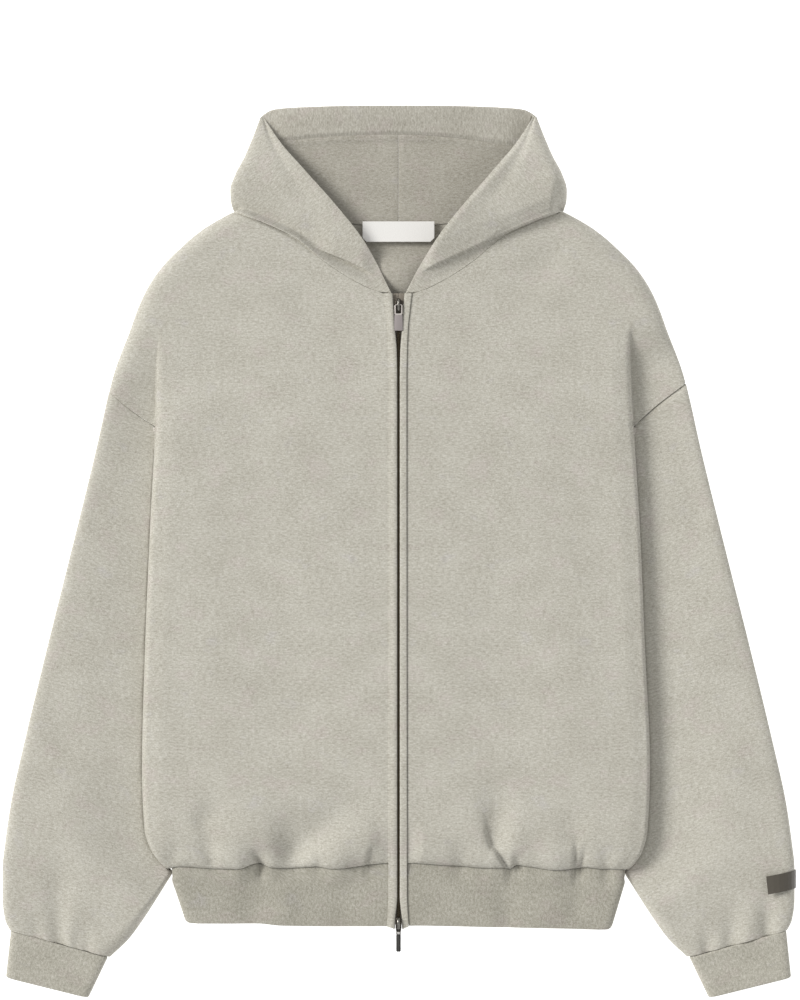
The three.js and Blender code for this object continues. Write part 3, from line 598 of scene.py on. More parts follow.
# roughness that varies with some noise, by a spread round the middle value
def varyGloss(tree, shader, noise, rough, spread):
    level = mathNode(tree, "ADD", mathNode(tree, "MULTIPLY", noise, spread * 2), rough - spread)
    tree.links.new(level, shader.inputs["Roughness"])


# Heathered knit: long fine streaks along the courses, short dark and light fibres, soft clouds
# of shade and a faint warm or violet cast, over a bump of fine loops.
def heatherKnit(
    name, dark, mid, light, streak=(230, 560), fibre=(620, 1150), loops=(760, 1050), bumpSize=0.35
):
    material, tree, shader = newMaterial(name)
    coords = weaveCoords(tree)
    streaks = noiseAt(tree, coords, streak, 4, 0.6)
    fibres = noiseAt(tree, coords, fibre, 2, 0.5)
    clouds = noiseAt(tree, coords, (26, 34), 2, 0.5)
    total = weighted(tree, (streaks, 0.62), (fibres, 0.56), (clouds, 0.16))
    shade = rampNode(tree, total, (0.45, dark), (0.86, light), (0.66, mid))
    cast = rampNode(
        tree, noiseAt(tree, coords, (30, 42), 3),
        (0.34, (1.012, 0.985, 0.995, 1)), (0.44, (1.0, 1.0, 0.985, 1)),
        (0.62, (1.0, 1.0, 0.985, 1)), (0.74, (0.995, 0.99, 1.03, 1)),
    )
    tinted = tree.nodes.new("ShaderNodeMix")
    tinted.data_type = "RGBA"
    tinted.blend_type = "MULTIPLY"
    tinted.inputs["Factor"].default_value = 1
    tree.links.new(shade, tinted.inputs["A"])
    tree.links.new(cast, tinted.inputs["B"])
    tree.links.new(tinted.outputs["Result"], shader.inputs["Base Color"])
    fine = noiseAt(tree, coords, loops, 2, 0.5)
    addBump(tree, shader, weighted(tree, (fine, 0.6), (streaks, 0.6)), bumpSize, 0.0006)
    setInputs(shader, {
        "Roughness": 0.92, "Specular IOR Level": 0.2, "Sheen Weight": 0.12, "Sheen Roughness": 0.6,
    })
    return material


# worn metal: darker and lighter specks, and gloss that varies with them
def metal(name, colour, rough):
    material, tree, shader = newMaterial(name)
    place = tree.nodes.new("ShaderNodeTexCoord")
    wear = noiseAt(tree, place.outputs["Object"], (420, 420), 4)
    tone = np.array(colour[:3])
    worn = rampNode(tree, wear, (0.35, (*(tone * 0.72), 1)), (0.68, (*np.minimum(1, tone * 1.25), 1)))
    tree.links.new(worn, shader.inputs["Base Color"])
    varyGloss(tree, shader, wear, rough, 0.06)
    shader.inputs["Metallic"].default_value = 1
    return material


# the knits' colours, dark to light, and where they aren't plain fleece the size of their grain
fleece = heatherKnit("heatherFleece", srgb(150, 145, 134), srgb(180, 177, 167), srgb(203, 201, 193))
# the inner faces' knit: a darker copy of the fleece, painted shade for the hollow of the hood and the
# inside of the neck
shadedLining = heatherKnit("heatherInsideShaded", srgb(136, 132, 121), srgb(163, 159, 149), srgb(185, 182, 173))
ribGrain = {"streak": (430, 290), "fibre": (1050, 680), "loops": (900, 420), "bumpSize": 0.45}
rib = heatherKnit(
    "heatherRib", srgb(131, 128, 117), srgb(160, 157, 146), srgb(186, 183, 174), **ribGrain
)
facingKnit = heatherKnit(
    "heatherFacing", srgb(145, 141, 130), srgb(175, 171, 161), srgb(199, 197, 188),
    streak=(560, 160), fibre=(1300, 460),
)
cuffRib = heatherKnit(
    "heatherCuff", srgb(140, 137, 126), srgb(169, 166, 155), srgb(195, 192, 183), **ribGrain
)
print("cloth materials made")


front = {
    "thickness": 2.5, "edge": 0.5, "plainColumns": 100, "sideColumns": 44,
    "neckGroove": {1: 0.0, -1: 2.4},
}
# where the last columns lie: inwards from the side, inwards from the fold, and shares beyond it
sideTable = {
    "below": [26, 17, 10.5, 6, 3.2, 1.5, 0.5, 0.12, 0],
    "beforeFold": [24, 13, 5.5, 0.8, 0, 0, 0, 0, 0],
    "beyondFold": [0, 0, 0, 0, 0.14, 0.42, 0.7, 0.91, 1],
}


# Columns run from the zip or the neck seam to the side at each level.
def frontGrid(side):
    neckTop = neckY(cut["neckSide"])
    level = stretches(cut["hemSeam"], (-245, 56), (70, 76), (235, 64), (neckTop, 44))[None, :]
    isNeck = level > cut["neckFront"]
    atNeck = np.where(isNeck, neckX(np.maximum(level, cut["neckFront"])) + cut["gap"], 0)
    inner = np.maximum(weltOuter(np.minimum(level, cut["neckFront"])) + cut["gap"], atNeck)
    outer = panelSide(level + hemDrop(cut["hemHalf"], level, side), side)
    fold = bodySide[side](np.minimum(level, cut["foldStart"]))
    folded = smooth((level - cut["underarm"]) / 12) * (1 - smooth((level - 212) / 34))
    room = np.minimum(1, (outer - inner) / 44)
    place = np.linspace(0, 8, front["sideColumns"])
    below, before, beyond = (
        np.interp(place, range(9), column)[:, None] for column in sideTable.values()
    )
    sides = mix(outer - below * room, fold - before + beyond * (outer - fold), folded)
    part = np.linspace(0, 1, front["plainColumns"], endpoint=False)[:, None] ** 1.15
    lead = mix(inner, sides[:1], part)
    x = np.concatenate([lead, sides])
    y = level + hemDrop(x, level, side)
    z = topHeight(x, y, side)
    z = mix(centreHeight(y) + 0.2, z, np.where(isNeck, 1, smooth((x - inner - 1) / 16)))
    z = z - front["neckGroove"][side] * bell(x - inner, 4.5) * smooth((level - 286) / 18)
    return np.stack([x, y, z], 2)


sideNames = {1: "left", -1: "right"}
for side, hand in sideNames.items():
    grid = frontGrid(side)
    piece = clothWall(f"frontPanel{hand.title()}", grid, front, fleece, side)
    attach(piece, f"front_{hand}", slot="fleece")
print("front panels made")

# The columns' insets from the outline, from the middle outwards: those under the border are kept as
# they are at each level, and the others share the rest of the width.
back = {
    "thickness": 2.5, "columns": 150, "neckLift": 13.0, "border": 62,
    "insets": [240, 150, 62, 47, 37, 27, 15, 7, 2.6, 0.6, 0],
}


# The underside of the body: level on the surface, with a ledge over the tucked sleeves and round edges.
def undersideHeight(x, y, side):
    toOutline = np.maximum(0, outlineDistance(x, y))
    toUnderarm = np.hypot(x - bodySide[side](cut["underarm"]), y - cut["underarm"])
    upper = heights["outline"] * (1 - dome(toOutline / 14))
    upper = np.maximum(upper, heights["underarm"] * (1 - dome(toUnderarm / 9)))
    width = bodySide[side](y)
    under = width - np.maximum(0, sleeveTuck(y)) - 2
    ends = smooth((cut["underarm"] - y) / 12) * smooth((y + 320) / 10)
    ledge = heights["ledge"] * ends * smooth((x - under + 22) / 20)
    lower = mix(sideHeight(y), ledge, dome((width - x) / 7))
    return np.where(y > cut["underarm"], upper, lower)


# the back's neck stands up a little from the surface inside the hoodie
def neckLift(x, y):
    return back["neckLift"] * bell(x, 46) * smooth((y - 225) / 45) * (1 - smooth((y - 288) / 34))


def backGrid():
    neckTop = float(neckY(cut["neckSide"]))
    rows = stretches(cut["hemSeam"], (-250, 24), (90, 40), (175, 36), (neckTop, 34))
    level = rows[::-1][None, :]
    u = column(back["columns"], -1)
    near = np.interp(np.abs(u), np.linspace(0, 1, len(back["insets"])), back["insets"])
    border, middle = back["border"], back["insets"][0]
    grids = {}
    for side in (-1, 1):
        outer = panelSide(level + hemDrop(cut["hemHalf"], level), side)
        evenly = (outer - border) * (middle - near) / (middle - border)
        x = np.where(near > border, evenly, outer - near)
        dip = (cut["neckBack"] - neckTop) * smooth((level - 240) / 98) * (1 - smooth(x / 160))
        y = level + hemDrop(x, level)
        edge = smooth((np.abs(u) - 0.8) / 0.2)
        z = np.maximum(0, undersideHeight(x, y, side) - cut["gap"] * edge) + neckLift(x, y)
        grids[side] = np.stack([side * x, y + dip, z], 2)
    return np.where((u < 0)[..., None], grids[-1], grids[1])


grid = backGrid()
piece = clothWall("backPanel", grid, back, fleece, shadedLining=shadedLining)
attach(piece, "back_panel", slot="fleece")
print("back panel made")

sleeve = {
    "thickness": 2.5, "edge": 0.6, "around": 150, "length": 530.0, "puff": 5.0,
    "seamStep": {1: 2.0, -1: 0.5}, "direction": (0.972, 0.235),
}
cuff = {"thickness": 3.5, "around": 120, "rows": 26, "direction": (0.97, 0.24)}
cuffSeam = {"innerX": 291.0, "innerY": -406.0, "outerX": 388.0, "outerY": -379.0}
cuffEnd = {"innerX": 310.5, "innerY": -446.5, "outerX": 393.0, "outerY": -426.0}


# A ring of shares round a flattened tube: over the top from the inner to the outer edge, back beneath.
def tubeShares(count):
    around = np.linspace(0, 1, count, endpoint=False)[:, None]
    onTop = around < 0.5
    half = np.where(onTop, 2 * around, 2 - 2 * around)
    return onTop, 0.5 - 0.5 * np.cos(np.pi * half)


# A sleeve from the cuff (t is 1) to the armhole seam (t is 0), which it shares with the front.
def sleeveGrid(side):
    onTop, across = tubeShares(sleeve["around"])
    t = 1 - stretches(0, (0.16, 40), (0.9, 82), (1, 30))[None, :]
    outerY = mix(cut["shoulderPoint"][side], cuffSeam["outerY"], t) - cut["gap"] * (1 - t)
    innerY = mix(cut["underarm"], cuffSeam["innerY"], t) - cut["gap"] * (1 - t)
    hidden = bodySide[side](innerY) - sleeveTuck(innerY)
    innerX = np.where(innerY > cut["sleeveFree"], hidden, sleeveInner(innerY))
    outerX = outlineX(outerY)
    x, y = mix(innerX, outerX, across), mix(innerY, outerY, across)
    y = y + armholeBow[side] * np.sin(np.pi * across) * (1 - smooth(t / 0.1))
    width = np.hypot(outerX - innerX, outerY - innerY)
    toInner, toOuter = across * width, (1 - across) * width
    leaving, arriving = smooth((t - 0.02) / 0.14), smooth((t - 0.86) / 0.12)
    innerHeight = mix(mix(heights["underarm"], 3.1, leaving), heights["outline"], arriving)
    middle = mix(innerHeight, heights["outline"], across)
    rim = dome(toInner / mix(5, 16, arriving)) * edgeRoll(toOuter / rounds["side"])
    flat = dome(toInner / 9) * dome(toOuter / 13)
    beneath = middle * (1 - flat)
    beside = cut["hemHalf"] + 1.2 * (y - cut["sleeveFree"])
    bodyEdge = np.where(y > cut["sleeveFree"], bodySide[side](y), beside)
    toCuff = (1 - t) * sleeve["length"]
    puff = sleeve["puff"] * smooth((250 - toCuff) / 170) * smooth((x - bodyEdge - 12) / 70)
    plain = armHeight(x - bodyEdge, y, side) + puff
    plain = plain + softWaves(x, y, 0.8, 5 + side) * smooth((x - bodyEdge) / 40)
    full = mix(heights["cuff"], plain, dome(toCuff / 34))
    full = full - foldDepth(side * x, y, sleeveFolds)
    own = mix(middle, full, rim)
    shared = np.maximum(middle, topHeight(x, y, side))
    seamStep = sleeve["seamStep"][side] * bell(t * sleeve["length"], 3) * dome(toOuter / 8)
    over = mix(shared, own, smooth(t / 0.05)) - seamStep
    return np.stack([x, y, np.where(onTop, over, beneath)], 2)


# Weave coordinates round a tube: distance round the ring, and place along the sleeve.
def tubeUv(grid, direction):
    cx, cy = direction
    ring = np.concatenate([grid, grid[:1]])
    around = runningSum(np.linalg.norm(np.diff(ring, axis=0), axis=2))
    start = grid[:1, :, 0] * cx + grid[:1, :, 1] * cy
    along = -ring[..., 0] * cy + ring[..., 1] * cx
    return np.stack([start + around, along], 2)


def cuffGrid():
    onTop, across = tubeShares(cuff["around"])
    along = row(cuff["rows"])
    innerX, outerX = (mix(cuffEnd[key], cuffSeam[key], along) for key in ("innerX", "outerX"))
    innerY = mix(cuffEnd["innerY"], cuffSeam["innerY"] - cut["gap"], along)
    outerY = mix(cuffEnd["outerY"], cuffSeam["outerY"] - cut["gap"], along)
    x, y = mix(innerX, outerX, across), mix(innerY, outerY, across)
    near = np.minimum(across, 1 - across) * np.hypot(outerX - innerX, outerY - innerY)
    middle = heights["cuff"] / 2
    top = mix(middle, heights["cuff"], edgeRoll(near / 12))
    top = top - 1.2 * bell(along - 0.62, 0.3) * dome(near / 30)
    return np.stack([x, y, np.where(onTop, top, middle * (1 - dome(near / 14)))], 2)


for side, hand in sideNames.items():
    grid = sleeveGrid(side)
    weave = tubeUv(grid, sleeve["direction"])
    piece = clothWall(f"sleeve{hand.title()}", grid, sleeve, fleece, side, weave)
    attach(piece, f"sleeve_{hand}", slot="fleece")
    grid = cuffGrid()
    weave = tubeUv(grid, cuff["direction"])
    piece = clothWall(f"cuff{hand.title()}", grid, cuff, cuffRib, side, weave)
    attach(piece, f"cuff_{hand}", slot="rib")
print("sleeves and cuffs made")

waistband = {"thickness": 3.5, "edge": 0.7, "around": 300, "rows": 30, "share": 0.27}


# From zip to zip: over the left front up to a share of the way, beneath the body, and back over the
# right front. The top edge follows the seam and the folds of the fronts.
def waistbandGrid():
    around, along = column(waistband["around"]), row(waistband["rows"])
    side = np.where(around <= 0.5, 1, -1)
    turn = np.where(around <= 0.5, around, 1 - around)
    level = mix(cut["hem"], cut["hemSeam"], along)
    width = bandSide(level)
    inner = weltOuter(level) + cut["gap"]
    share = waistband["share"]
    onTop = turn < share
    over = np.sin(np.pi / 2 * clamp01(turn / share))
    under = np.cos(np.pi / 2 * clamp01((turn - share) / (0.5 - share)))
    x = np.where(onTop, mix(inner, width, over), width * under)
    ends = {hand: (seamY(x, hand) - cut["hemSeam"]) * along for hand in (-1, 0, 1)}
    sag = np.where(onTop, np.where(side > 0, ends[1], ends[-1]), ends[0])
    wave = hemWave(side * x) * (1 - along)
    middle = heights["band"] / 2 - 1
    top = mix(middle, heights["band"], edgeRoll((width - x) / 12))
    top = top - foldDepth(side * x, level, bandFolds) * smooth((width - x) / 30)
    seamLine = np.where(side > 0, seamY(x, 1), seamY(x, -1))
    nearSeam = smooth((along - 0.6) / 0.4) * smooth((width - x) / 12)
    top = top - 1.3 * foldDepth(side * x, seamLine, hemFolds) * nearSeam
    z = np.where(onTop, top, middle * (1 - dome((width - x) / 16)))
    return np.stack([side * x, level + sag + wave, z], 2)


grid = waistbandGrid()
piece = clothWall("waistband", grid, waistband, rib)
attach(piece, "waistband", slot="rib")
print("waistband made")

hood = {
    "thickness": 3.5, "edge": 0.8, "flapColumns": 84, "backColumns": 40, "stand": {1: 1.0, -1: 0.5},
    "step": {1: 7.5, -1: 4.0}, "groove": {1: 0.8, -1: 1.6}, "ridge": 0.8, "direction": (0.8, -0.6),
}
# share of the way up, then x, y and height of the opening edge, then of the outer fold
hoodTable = [
    (0, 7, 259.5, 27, 165, 340.5, 7),
    (0.15, 20, 286, 33, 168, 351, 8),
    (0.3, 36, 313, 41, 168.6, 361.5, 9),
    (0.5, 62, 346, 46, 163.5, 377.5, 9),
    (0.7, 92, 381, 42, 154.6, 394.5, 8),
    (0.85, 114, 409, 30, 146.2, 414.5, 6),
    (1, 131.6, 436.5, 10.6, 138.2, 435.6, 4.8),
]
# the opening edge lies further out on the wearer's left, and at both corners
edgeShift = {
    1: curveThrough((0, 0), (0.15, 1.6), (0.3, 3.2), (0.7, 3.4), (0.85, 4.2), (1, 4.0)),
    -1: curveThrough((0, 0), (0.5, 0.4), (0.7, 1.4), (0.85, 3.6), (1, 4.2)),
}
edgeX, edgeY, edgeZ, foldX, foldY, foldZ = (
    curveThrough(*[(row[0], row[k]) for row in hoodTable]) for k in range(1, 7)
)
# the crease between the neck's stand and the turned-over flap, a step down from the flap's edge
creaseY = {
    1: curveThrough((20, 275), (28, 280.5), (65, 297.7), (99, 313.5), (140, 331), (165, 340)),
    -1: curveThrough(
        (20, 272), (38, 283.5), (77, 300.5), (100, 312), (128, 325), (150, 334.5), (165, 340)
    ),
}


# how far the hood's lowest layer rises from the surface towards its top
def hoodLift(x, y):
    return 8 * smooth((y - 408) / 40) * (1 - clamp01(x / 128) ** 2)


# the facing's lower edge inside the hood, lower on the wearer's left
def facingEdge(x):
    return 417.3 - np.where(x > 0, 0.00095, 0.00048) * x * x


# Half a hood: a flap from the opening edge to the outer fold, then a layer beneath to the centre seam.
def hoodGrid(side):
    flap = column(hood["flapColumns"])
    across = mix(flap, np.sin(np.pi / 2 * flap), 0.6)
    along = stretches(0, (0.3, 72), (1, 90))[None, :]
    ex, ey = edgeX(along) + edgeShift[side](along), edgeY(along)
    fx, fy, middle = foldX(along), foldY(along), foldZ(along)
    x, y = mix(ex, fx, across), mix(ey, fy, across)
    _, nearX, nearY, _, farX, farY, _ = hoodTable[0]
    seam = neckY(mix(nearX, farX, across)) + 2 * cut["gap"] - mix(nearY, farY, across)
    y = y + seam * (1 - clamp01(along / 0.25))
    toFold = np.hypot(fx - x, fy - y)
    tent = hood["stand"][side] * mix(edgeZ(along), 0.72 * edgeZ(along) + 4, across)
    above = (y - creaseY[side](x)) * 0.9
    held = smooth((x - 22) / 16) * (1 - smooth((x - 150) / 14)) * edgeRoll(toFold / 14)
    held = held * {1: 0.6 + 0.75 * smooth((x - 70) / 60), -1: 1 - 0.9 * smooth((x - 62) / 26)}[side]
    rise = edgeRoll(above / 2, 2.2) * (1 - smooth(above / 46))
    step = hood["step"][side] * np.where(above > 0, rise, 0)
    groove = hood["groove"][side] * np.where(above > 0, 0, bell(above, 5))
    toEdge = across * np.hypot(fx - ex, fy - ey)
    tent = tent - {1: 1.7, -1: 0.5}[side] * bell(toEdge, 5)
    tent = tent - 1.5 * bell(across - 0.32, 0.13) * smooth((along - 0.35) / 0.2)
    own = mix(middle, tent + softWaves(side * x, y, 1.2, 21), edgeRoll(toFold / 15))
    z = mix(topHeight(x, y - cut["gap"], side), own, smooth(along / 0.14))
    z = z + (step - groove * smooth(along / 0.02)) * held * (along > 0)
    top = np.stack([x, y, np.maximum(z, middle)], 2)
    inward = 1 - np.cos(np.pi / 2 * np.linspace(0, 1, hood["backColumns"] + 1)[1:, None])
    bx = mix(fx, cut["gap"] / 2, inward)
    centreY = mix(cut["neckBack"] - 0.5, cut["hoodTop"], along)
    t = bx / fx
    bow = mix(smooth(bx / 160), 0.35 * t**3 + 0.65 * t**22, along)
    by = mix(centreY, fy, bow)
    ridge = hood["ridge"] * bell(by - facingEdge(side * bx) + 2.5, 3.2) * (1 - smooth((bx - 118) / 8))
    bz = mix(middle, hoodLift(bx, by) + ridge, dome((fx - bx) / 11))
    return np.concatenate([top, np.stack([bx, by, bz], 2)])


for side, hand in sideNames.items():
    grid = hoodGrid(side)
    isFlap = (np.arange(len(grid)) < hood["flapColumns"])[:, None, None]
    weave = np.where(isFlap, planarUv(grid, hood["direction"]), planarUv(grid))
    piece = clothWall(f"hood{hand.title()}", grid, hood, fleece, side, weave, shadedLining)
    attach(piece, f"hood_{hand}", slot="fleece")
print("hood made")


facing = {"thickness": 2.2, "columns": 140, "rows": 24, "lie": 5.8}


# The facing lies on the hood's lowest layer, from its own lower edge to the hood's top edge.
def facingGrid():
    u, v = 2 * column(facing["columns"]) - 1, row(facing["rows"])
    x = u * mix(125, 136.5, v)
    reach = np.abs(x) / 137
    y = mix(facingEdge(x), cut["hoodTop"] - 0.5 - 4.5 * reach**3 - 6 * reach**24, v)
    ends = smooth((np.abs(u) - 0.84) / 0.14)
    z = hoodLift(np.abs(x), y) + facing["lie"] - 1.2 * ends + 0.3 * np.sin(x / 31) * (1 - v)
    z = z - 1.9 * (1 - smooth(v / 0.14))
    return np.stack([x, y, z], 2)


grid = facingGrid()
piece = clothWall("hoodFacing", grid, facing, facingKnit)
attach(piece, "hood_facing", slot="fleece")
print("hood facing made")


# a plain woven or rubber face: grain from one colour to another
def faceMaterial(name, grain, detail, rough, *stops):
    material, tree, shader = newMaterial(name)
    threads = noiseAt(tree, weaveCoords(tree), grain, detail)
    tree.links.new(rampNode(tree, threads, *stops), shader.inputs["Base Color"])
    shader.inputs["Roughness"].default_value = rough
    return material, tree, shader, threads


def labelMaterial():
    stops = (0.3, srgb(212, 210, 206)), (0.7, srgb(229, 228, 225))
    material, tree, shader, threads = faceMaterial("wovenLabelGlowing", (900, 3200), 2, 0.55, *stops)
    addBump(tree, shader, threads, 0.15, 0.0002)
    # a faint glow: painted light that keeps the label as white as lit cloth where the hood's flap shades
    # it
    setInputs(shader, {"Emission Color": (1, 0.99, 0.97, 1), "Emission Strength": 0.06})
    return material


def tagMaterial():
    stops = (0.35, srgb(66, 61, 53)), (0.7, srgb(92, 87, 77))
    return faceMaterial("rubberTag", (260, 260), 4, 0.42, *stops)[0]


label = {
    "halfWidth": 36.0, "height": 20.6, "thickness": 0.6, "corner": 4.0, "overNeck": 5.0, "lie": 8.0,
    "tilt": 2.2, "wave": 0.2,
}


# A level strip, highest at its lower edge, with its two lower corners clipped.
def labelGrid():
    u, v = column(60, -1), row(20)
    corner = clamp01(1 - v * label["height"] / label["corner"])
    x = u * label["halfWidth"] * (1 - (label["corner"] / label["halfWidth"]) * corner)
    y = cut["neckBack"] + label["overNeck"] - label["height"] * (1 - v) + 0 * x
    z = label["lie"] + label["tilt"] * (1 - v) + label["wave"] * np.cos(x / 15)
    return np.stack([x, y, z], 2)


grid = labelGrid()
piece = clothWall("neckLabel", grid, label, labelMaterial())
attach(piece, "neck_label", slot="label")
print("neck label made")

tape = {"thickness": 0.7, "sink": 2.7}
welt = {"thickness": 2.6, "edge": 0.5, "lift": 1.2, "crown": 1.6, "widerBy": {1: 0, -1: 1.3}}
teeth = {
    "bottom": -371.0, "top": 238.0, "pitch": 2.3, "reach": 1.75, "meet": 0.75, "width": 1.25,
    "height": 1.7, "sink": 2.3,
}
tapeMaterial = heatherKnit(
    "zipTape", srgb(100, 93, 84), srgb(132, 125, 115), srgb(154, 147, 137),
    streak=(900, 300), fibre=(1500, 900),
)
teethMetal = metal("agedTeeth", srgb(66, 59, 47), 0.36)
darkMetal = metal("darkSlider", srgb(72, 68, 62), 0.28)
# the bridge over the slider's bar: a lighter metal than the slider, a painted highlight along its crown
crownHighlightMetal = metal("crownPaintedHighlight", srgb(140, 138, 132), 0.25)
brightMetal = metal("brightRing", srgb(232, 229, 225), 0.22)


# a row of levels about 3 mm apart
def zipLevels(low, high):
    return row(int((high - low) / 3) + 2, low, high)


for side, hand in sideNames.items():
    zipEnd = cut["neckFront"] - 0.4
    y = zipLevels(teeth["bottom"], zipEnd)
    x = mix(0.05 + 0 * y, weltOuter(y) - 0.5, column(10))
    grid = np.stack([x, y + 0 * x, centreHeight(y) - tape["sink"] + 0 * x], 2)
    piece = clothWall(f"zipTape{hand.title()}", grid, tape, tapeMaterial, side)
    attach(piece, f"zip_tape_{hand}", slot="tape")

    y = zipLevels(cut["hem"], zipEnd)
    u = column(22)
    x = mix(weltInner(y), weltOuter(y) + welt["widerBy"][side], u)
    outerEdge = {1: 1 - edgeRoll((1 - u) / 0.3), -1: 0.7 * smooth((u - 0.35) / 0.65)}[side]
    crown = welt["crown"] * edgeRoll(u / 0.4, 2.2) - 0.9 - 1.5 * outerEdge
    ripple = 0.25 * np.sin(y / 9.0 + side) + 0.2 * np.sin(y / 23.0)
    dip = 2.4 * (1 - u) * smooth((cut["hem"] + 12 - y) / 12)
    grid = np.stack([x, y - dip, centreHeight(y) + welt["lift"] + crown + ripple * (1 - u)], 2)
    piece = clothWall(f"zipWelt{hand.title()}", grid, welt, fleece, side)
    attach(piece, f"zip_welt_{hand}", slot="fleece")

# one tooth: a bar across the chain with a narrower head, copied along both tapes in turn
count = int((teeth["top"] - teeth["bottom"]) / (teeth["pitch"] / 2))
step = np.arange(count)
toothSide = np.where(step % 2 == 0, 1.0, -1.0)
w, h = teeth["width"] / 2, teeth["height"]
outlineTooth = np.array([
    (teeth["reach"], -w), (teeth["reach"], w), (0.1, w), (-teeth["meet"], w * 0.62),
    (-teeth["meet"], -w * 0.62), (0.1, -w),
])
toothX = outlineTooth[:, 0][None, :] * toothSide[:, None]
toothY = outlineTooth[:, 1][None, :] + (teeth["bottom"] + 1 + step * teeth["pitch"] / 2)[:, None]
base = centreHeight(toothY) - teeth["sink"]
low, high = np.stack([toothX, toothY, base], 2), np.stack([toothX * 0.94, toothY, base + h], 2)
points = np.concatenate([low, high], 1)
offset = (step * 12)[:, None, None]
flip = (toothSide < 0)[:, None, None]
# a tooth's six sides, then its top and its bottom as two quads each
toothFaces = (
    [[k, (k + 1) % 6, (k + 1) % 6 + 6, k + 6] for k in range(6)],
    [[6, 7, 8, 9], [9, 10, 11, 6]],
    [[3, 2, 1, 0], [0, 5, 4, 3]],
)
faces = []
for table in toothFaces:
    both = np.array(table)[None] + offset
    faces.append(np.where(flip, both[:, :, ::-1], both).reshape(-1, 4))
faces = np.concatenate(faces).tolist()
piece = putObject("zipTeeth", points.reshape(-1, 3), faces, [teethMetal], sharp=True)
attach(piece, "zip_teeth", slot="teeth")
print("zip made with", count, "teeth")


# brushed metal or hard plastic of one colour
def satin(name, colour, rough, metallic):
    material, tree, shader = newMaterial(name)
    place = tree.nodes.new("ShaderNodeTexCoord")
    brushed = noiseAt(tree, place.outputs["Object"], (1500, 160), 3)
    varyGloss(tree, shader, brushed, rough, 0.1)
    shader.inputs["Base Color"].default_value = colour
    shader.inputs["Metallic"].default_value = metallic
    return material


frameMetal = satin("pullFrame", srgb(196, 190, 184), 0.4, 0.5)
mauveMetal = satin("pullTab", srgb(152, 145, 144), 0.5, 0.35)
blackTab = satin("blackTab", srgb(33, 32, 30), 0.45, 0.0)
blackRidge = satin("blackTabRidge", srgb(56, 55, 52), 0.4, 0.0)

# Each slider's hinge lies at its bar, and lengths run down from there along the pull. The slider is
# an oval plate, and both it and the bridge over the bar are given by half their widths.
pulls = {
    "top": {
        "hinge": (0, 245.5, 29.9), "half": 3.3, "power": 2.6, "taper": 0.06, "bridgeHalf": 1.05,
    },
    "bottom": {
        "hinge": (0, -371.9, 20.6), "half": 2.95, "power": 3.2, "taper": 0.0, "bridgeHalf": 1.25,
    },
}
# the bridge's middle line over the bar, as (place along the slider, height above the hinge)
bridgePath = [
    (5.9, -1.6), (5.8, -0.5), (5.2, 0.7), (4, 1.5), (2, 1.8),
    (0, 1.8), (-2, 1.6), (-4, 0.9), (-5.4, -0.2), (-6.0, -1.6),
]


# corners of a rectangle with clipped corners
def rectangle(halfWidth, top, bottom, corner):
    inset, above, below = halfWidth - corner, top - corner, bottom + corner
    left = [(inset, top), (-inset, top), (-halfWidth, above), (-halfWidth, below)]
    return left + [(-inset, bottom), (inset, bottom), (halfWidth, below), (halfWidth, above)]


for which, sizes in pulls.items():
    body = plate(oval(sizes["half"], 7.4, sizes["power"], sizes["taper"], centre=-0.5), -3.6, -1.5)
    # the bridge is in the lighter metal that paints its highlight
    bridge = wire([(0, y, z) for y, z in bridgePath], sizes["bridgeHalf"], 0.62)
    parts = [(body, darkMetal), (bridge, crownHighlightMetal)]
    piece = assembled(f"slider{which.title()}", sizes["hinge"], parts, 0.7)
    attach(piece, f"slider_{which}", slot="slider")

# the top pull: a frame with a window, a plain tab below it, and the bar that it turns on
tab = [(-4.0, -9.6), (-4.2, -24.6), (-3.7, -25.4), (3.7, -25.4), (4.2, -24.6), (4.0, -9.6)]
piece = assembled(
    "pullTop", pulls["top"]["hinge"],
    [
        (plate(rectangle(4.0, 0.8, -9.9, 1.2), -0.6, 0.6, rectangle(2.65, 0.15, -8.3, 0.7)), frameMetal),
        (plate(tab, -0.45, 0.45), mauveMetal),
        (plate(rectangle(2.9, 0.5, -0.6, 0.1), -0.5, 0.5), darkMetal),
    ], 0.22,
)
attach(piece, "pull_top", body="top_pull", slot="top_tab")

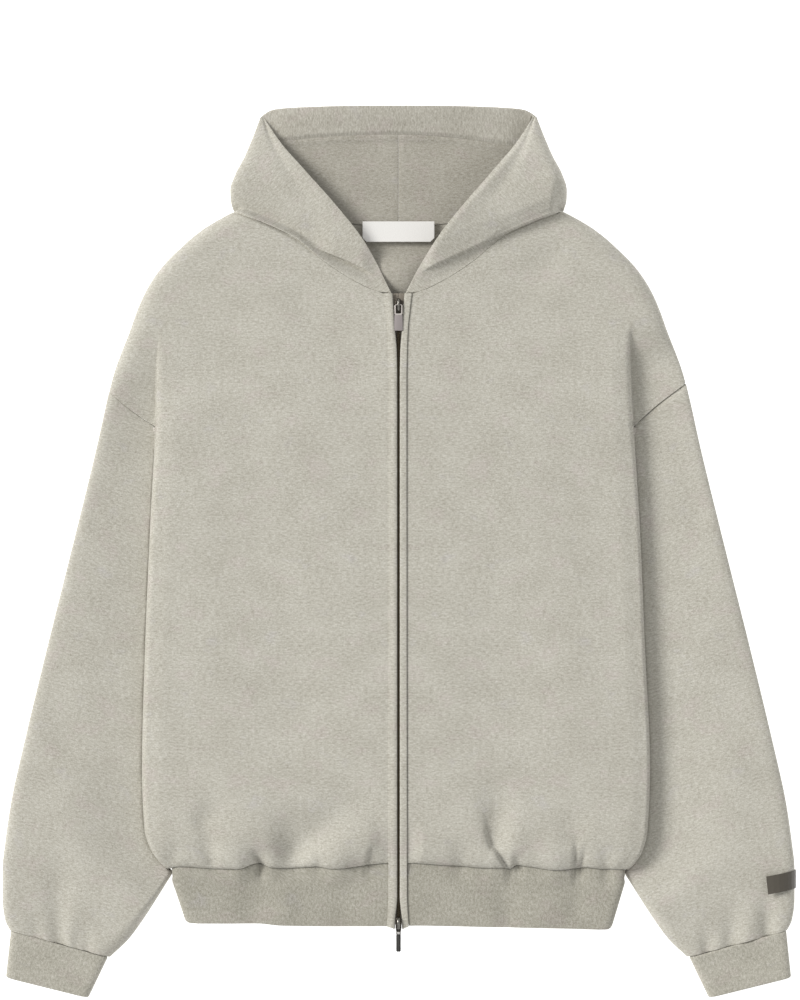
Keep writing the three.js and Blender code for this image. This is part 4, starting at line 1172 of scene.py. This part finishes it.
# the bottom pull: a ring with a window, a joint with a bright eye, and a black strap with a ridge
piece = assembled(
    "pullBottom", pulls["bottom"]["hinge"],
    [
        # the ring and the joint are in the dark slider metal, painted shade: the loop is bright metal,
        # and only its eye shows that
        (plate(rectangle(2.5, 0.75, -7.9, 0.9), -0.6, 0.6, rectangle(1.55, -0.75, -6.6, 0.5)), darkMetal),
        (plate(rectangle(2.3, -7.2, -10.6, 0.5), -0.5, 0.45), darkMetal),
        (plate(rectangle(1.3, -7.6, -10.0, 0.4), 0.35, 0.85), brightMetal),
        (plate(rectangle(2.35, -10.2, -27.5, 0.8), -0.65, 0.5), blackTab),
        (plate(rectangle(1.0, -11.2, -26.9, 0.4), 0.4, 0.75), blackRidge),
    ], 0.22,
)
attach(piece, "pull_bottom", body="bottom_pull", slot="bottom_tab")
print("sliders and pulls made")

# the sleeve tag is carried over from the frame, with its own finish
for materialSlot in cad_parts["sleeve_tag"].material_slots:
    materialSlot.material = tagMaterial()

# The camera looks straight down, with the picture's scale true at the plane of the cloth.
photo = {
    "lens": 140.0, "sensor": 36.0, "height": 1000.0, "centreX": 1.5, "centreY": 51.5, "plane": 13.0,
}
camera = bpy.data.cameras.new("camera")
camera.lens = photo["lens"]
camera.sensor_width = photo["sensor"]
camera.clip_end = 50
cameraObject = linked("camera", camera)
distance = photo["height"] * photo["lens"] / photo["sensor"]
place = (photo["centreX"], photo["centreY"], distance + photo["plane"])
cameraObject.location = [length * 0.001 for length in place]
bpy.context.scene.camera = cameraObject

# light that falls evenly from the picture's left, low enough to shade the folds
key = {"from": (-2.6, 1.0, 2.05), "strength": 2.45, "spread": 24.0, "colour": (1, 0.985, 0.96)}
light = bpy.data.lights.new("keyLight", "SUN")
light.energy, light.color, light.angle = key["strength"], key["colour"], np.radians(key["spread"])
keyObject = linked("keyLight", light)
keyObject.location = key["from"]
keyObject.rotation_euler = (-Vector(key["from"])).to_track_quat("-Z", "Y").to_euler()

world = bpy.data.worlds.new("studio")
world.use_nodes = True
setInputs(world.node_tree.nodes["Background"], {"Color": (1, 1, 1, 1), "Strength": 0.65})
bpy.context.scene.world = world

# a pale floor that glows a little, far wider than the picture and just under the cloth
ground = {"half": 6000, "level": -0.4, "glow": 0.8}
floorMaterial, _, floorShader = newMaterial("paleFloor")
setInputs(floorShader, {
    "Base Color": (0.92, 0.92, 0.92, 1), "Roughness": 1,
    "Emission Color": (1, 1, 1, 1), "Emission Strength": ground["glow"],
})
half = ground["half"]
corners = [(a * half, b * half, ground["level"]) for a, b in ((-1, -1), (1, -1), (1, 1), (-1, 1))]
floor = putObject("floor", corners, [[0, 1, 2, 3]], [floorMaterial])
bpy.context.scene.view_settings.view_transform = "Standard"
bpy.context.scene.view_settings.look = "None"
print("camera, light and floor made")
